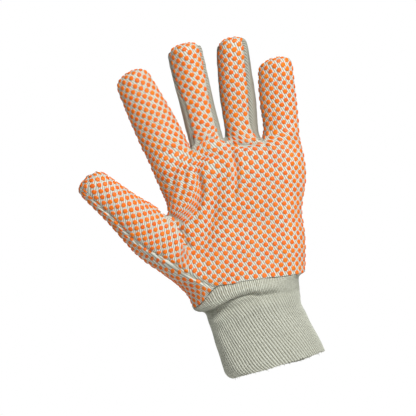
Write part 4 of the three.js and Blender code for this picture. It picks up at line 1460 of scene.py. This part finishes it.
def drill_cloth(name, light, dark, shade, angle, pitch):
    finish = Finish(name, Roughness=0.92, Specular_IOR_Level=0.15, Sheen_Weight=0.06,
                    Sheen_Roughness=0.6, Sheen_Tint=(1, 0.98, 0.93, 1))
    cloth_place = finish.node("ShaderNodeUVMap", settings={"uv_map": CLOTH_UV})
    solid_place = finish.node("ShaderNodeTexCoord", output=3)
    across, along, _ = finish.parts(cloth_place)
    lean = math.radians(angle)
    slip = finish.noise(cloth_place, 0.22, 3.0)
    line = across * math.cos(lean) + along * math.sin(lean)
    ridge = (line / pitch + slip * 0.45).wave()
    thread = ((along * math.cos(lean) - across * math.sin(lean)) / THREAD_PITCH + slip).wave()
    slub = finish.noise(cloth_place, 1.1, 4.0)
    groove = (1 - ridge) ** 3.2
    height = ridge * 0.55 + thread * ridge * 0.3 + slub * 0.4
    flecks = finish.noise(cloth_place, 1.9, 2.0)
    fleck = ((flecks - 0.66) * 9.0).clamp()
    patches = finish.noise(solid_place, 28.0, 3.0)
    # painted shade: the twill grooves and the gaps between threads are darkened in the colour, with a
    # random tone from the slubs added
    shade_and_tone = (groove * (0.6 + 0.75 * slub) + 0.14 * thread + 0.22 * (slub - 0.4)).clamp()
    colour = finish.mix((patches * 0.7 - 0.1).clamp(), light, shade)
    colour = finish.mix(shade_and_tone, colour, dark)
    colour = finish.mix(fleck * 0.5, colour, (0.16, 0.13, 0.09, 1))
    finish.feed("Base Color", colour)
    finish.feed("Roughness", 0.84 + 0.12 * slub)
    finish.feed("Normal", finish.bump(height, 0.00035, 0.75))
    return finish.material


dotted_drill = drill_cloth("dotted_drill", (0.735, 0.75, 0.665, 1), (0.26, 0.25, 0.19, 1),
                           (0.61, 0.625, 0.545, 1), TWILL_ANGLE, TWILL_PITCH)
# painted shade: the plain cloth is the same cotton as the dotted cloth, but its colours are set much
# darker to stand for the shade on the sides of the fingers
plain_drill = drill_cloth("plain_drill", (0.47, 0.465, 0.395, 1), (0.15, 0.145, 0.11, 1),
                          (0.37, 0.365, 0.305, 1), -TWILL_ANGLE, PLAIN_TWILL_PITCH)
print("Cotton finishes:", dotted_drill.name, plain_drill.name)

# %% [markdown]
# ## Plastic dots
# The dots are soft, slightly glossy plastic, a strong orange. Each dot has its own tint, and a
# fine speckle makes it redder in places, so that no two are quite alike.

# %% Orange plastic
def dot_plastic():
    finish = Finish("grip_dots", Roughness=0.42, Specular_IOR_Level=0.3,
                    Subsurface_Weight=0.12, Subsurface_Radius=(0.002, 0.0008, 0.0003),
                    Subsurface_Scale=0.3)
    tint = finish.node("ShaderNodeAttribute", output=2, settings={"attribute_name": "tint"})
    place = finish.node("ShaderNodeTexCoord", output=3)
    speckle = finish.noise(place, 900.0, 2.0)
    colour = finish.mix(tint, (0.74, 0.135, 0.003, 1), (0.82, 0.225, 0.005, 1))
    colour = finish.mix((speckle * 0.8 - 0.1).clamp(), colour, (0.72, 0.10, 0.002, 1))
    finish.feed("Base Color", colour)
    finish.feed("Roughness", 0.34 + 0.22 * speckle)
    finish.feed("Normal", finish.bump(speckle, 0.0001, 0.4))
    return finish.material


plastic = dot_plastic()

# %% [markdown]
# ## Rib knit
# Each rib is a column of V-shaped stitches, about one millimetre tall. The V comes from
# shifting a wave along the column by the distance from the rib's middle. Under the hem the
# knit is bunched up, and there each rib splits in two finer ones. The grooves between the ribs
# and between the stitches are painted darker, as painted shade.

# %% Knitted cotton
STITCH_PITCH = 1.15


def rib_knit():
    finish = Finish("rib_knit", Roughness=0.95, Specular_IOR_Level=0.15, Sheen_Weight=0.1,
                    Sheen_Roughness=0.7, Sheen_Tint=(1, 0.98, 0.92, 1))
    place = finish.node("ShaderNodeUVMap", settings={"uv_map": CLOTH_UV})
    solid_place = finish.node("ShaderNodeTexCoord", output=3)
    around, up, _ = finish.parts(place)
    rib_share = around * (rib_count / perimeter)
    rib = rib_share.wave()
    from_middle = ((rib_share + 0.5).math("FRACT") - 0.5).math("ABSOLUTE")
    stitch = (up / STITCH_PITCH + from_middle * 1.1).wave()
    fuzz = finish.noise(place, 1.4, 4.0)
    uneven = finish.noise(place, 0.35, 3.0)
    patches = finish.noise(solid_place, 45.0, 3.0)
    packed = ((up - 50.0) / 6.0).clamp()
    split = 1 - (rib_share * 2.0 + 0.5).wave()
    groove = (1 - packed) * (1 - rib) ** 4.0 + packed * split**2.0
    height = stitch * rib * 0.6 + fuzz * 0.7 - groove * 0.5
    # painted shade: the rib grooves and the gaps between stitches are darkened in the colour, unevenly
    # along each rib, with a random tone from the fuzz
    uneven_shade = fuzz * 0.9 + uneven * 1.1 - 0.15
    shade_and_tone = (groove * uneven_shade + 0.2 * (1 - stitch) * rib + 0.3 * (fuzz - 0.45)).clamp()
    colour = finish.mix((patches * 0.8 - 0.12).clamp(), (0.63, 0.645, 0.55, 1), (0.50, 0.51, 0.43, 1))
    colour = finish.mix(shade_and_tone, colour, (0.20, 0.19, 0.125, 1))
    finish.feed("Base Color", colour)
    finish.feed("Roughness", 0.86 + 0.12 * fuzz)
    finish.feed("Normal", finish.bump(height, 0.0006, 0.9))
    return finish.material


knitted = rib_knit()

# %% Sewing thread
def spun_thread():
    finish = Finish("seam_thread", Roughness=0.8, Specular_IOR_Level=0.2)
    place = finish.node("ShaderNodeTexCoord", output=3)
    twist = finish.noise(place, 1400.0, 2.0)
    colour = finish.mix(twist, (0.50, 0.48, 0.40, 1), (0.68, 0.66, 0.57, 1))
    finish.feed("Base Color", colour)
    finish.feed("Normal", finish.bump(twist, 0.0001, 0.6))
    return finish.material


sewing_thread = spun_thread()


def dress(made, material):
    made.data.materials.append(material)


for piece, made in cloth.items():
    if piece == "back_panel":
        dress(made, plain_drill)
    else:
        dress(made, dotted_drill)
    span, area = cut_sizes[piece]
    together = [dots[piece]] if piece in dots else []
for made in dots.values():
    dress(made, plastic)
dress(cuff, knitted)
dress(fray, knitted)
dress(stitches, sewing_thread)
knit_height = float(knit_uv_v[-1] * MM)
perimeter * MM
print("Cuff cut: %.3f by %.3f m" % (perimeter * MM, knit_height))

# %% [markdown]
# ## Studio
# The photo is a plain catalogue shot: white ground and soft light, a little stronger from the
# upper right, so that folds and ribs still cast small shades. A round sheet of pale paper lies
# below the glove, and the world looks white to the camera but lights the glove gently.

# %% Paper floor
def paper_floor(z, radius, sides=96):
    turns = [2 * math.pi * k / sides for k in range(sides)]
    places = [(radius * math.cos(t), radius * math.sin(t), z) for t in turns]
    floor = link_mesh("paper_floor", places, [list(range(sides))])
    paper = Finish("paper", Roughness=0.9, Specular_IOR_Level=0.1)
    place = paper.node("ShaderNodeTexCoord", output=3)
    grain = paper.noise(place, 300.0, 3.0)
    paper.feed("Base Color", paper.mix(grain, (0.90, 0.90, 0.90, 1), (0.95, 0.95, 0.95, 1)))
    floor.data.materials.append(paper.material)


paper_floor(z=-0.3, radius=0.65)

# %% Lights
def area_light(name, place, aim, size, power, colour=(1, 1, 1)):
    lamp = bpy.data.lights.new(name, "AREA")
    lamp.shape = "DISK"
    lamp.size = size
    lamp.energy = power
    lamp.color = colour
    made = bpy.data.objects.new(name, lamp)
    made.location = place
    made.rotation_euler = (Vector(aim) - Vector(place)).to_track_quat("-Z", "Y").to_euler()
    bpy.context.scene.collection.objects.link(made)


middle_of_glove = (-0.01, 0.0, 0.13)
area_light("top_key", (0.75, -1.0, 0.85), middle_of_glove, 0.4, 20.8)
area_light("front_fill", (0.1, -1.7, 0.45), middle_of_glove, 0.7, 6.8)
area_light("back_fill", (0.15, 1.75, 0.7), middle_of_glove, 0.8, 24, (1.0, 0.985, 0.95))
area_light("cool_side", (1.3, 0.1, 0.0), middle_of_glove, 0.5, 0.8, (0.72, 0.86, 1.0))
area_light("left_side", (-1.2, -0.1, 0.6), middle_of_glove, 0.5, 2)

# %% World
world = bpy.data.worlds.new("studio")
world.use_nodes = True
nodes, links = world.node_tree.nodes, world.node_tree.links
gentle = nodes["Background"]
gentle.inputs["Color"].default_value = (0.97, 0.985, 1.0, 1)
gentle.inputs["Strength"].default_value = 0.18
white = nodes.new("ShaderNodeBackground")
white.inputs["Color"].default_value = (1, 1, 1, 1)
ray = nodes.new("ShaderNodeLightPath")
choose = nodes.new("ShaderNodeMixShader")
links.new(ray.outputs["Is Camera Ray"], choose.inputs[0])
links.new(gentle.outputs[0], choose.inputs[1])
links.new(white.outputs[0], choose.inputs[2])
links.new(choose.outputs[0], nodes["World Output"].inputs["Surface"])
bpy.context.scene.world = world
bpy.context.scene.view_settings.view_transform = "Standard"

# %% [markdown]
# ## Camera
# The photographer turned the glove 18 degrees in the picture, so the camera rolls by as much.
# A long lens from two metres looks straight at the palm, so nothing is drawn out of shape.

# %% Camera
ROLL = math.radians(18)
FRAME_WIDTH = 0.312  # metres that the picture spans at the glove
DISTANCE = 2.2
VIEW_X = -0.0138  # the point of the glove at the middle of the picture
VIEW_Z = 0.1275
SENSOR_WIDTH = 36  # millimetres
camera_data = bpy.data.cameras.new("camera")
camera_data.sensor_width = SENSOR_WIDTH
camera_data.lens = SENSOR_WIDTH * DISTANCE / FRAME_WIDTH
camera = bpy.data.objects.new("camera", camera_data)
camera.location = (VIEW_X, -DISTANCE, VIEW_Z)
camera.rotation_euler = (math.pi / 2, ROLL, 0)
bpy.context.scene.collection.objects.link(camera)
bpy.context.scene.camera = camera
print("Lens: %.0f mm" % camera_data.lens)
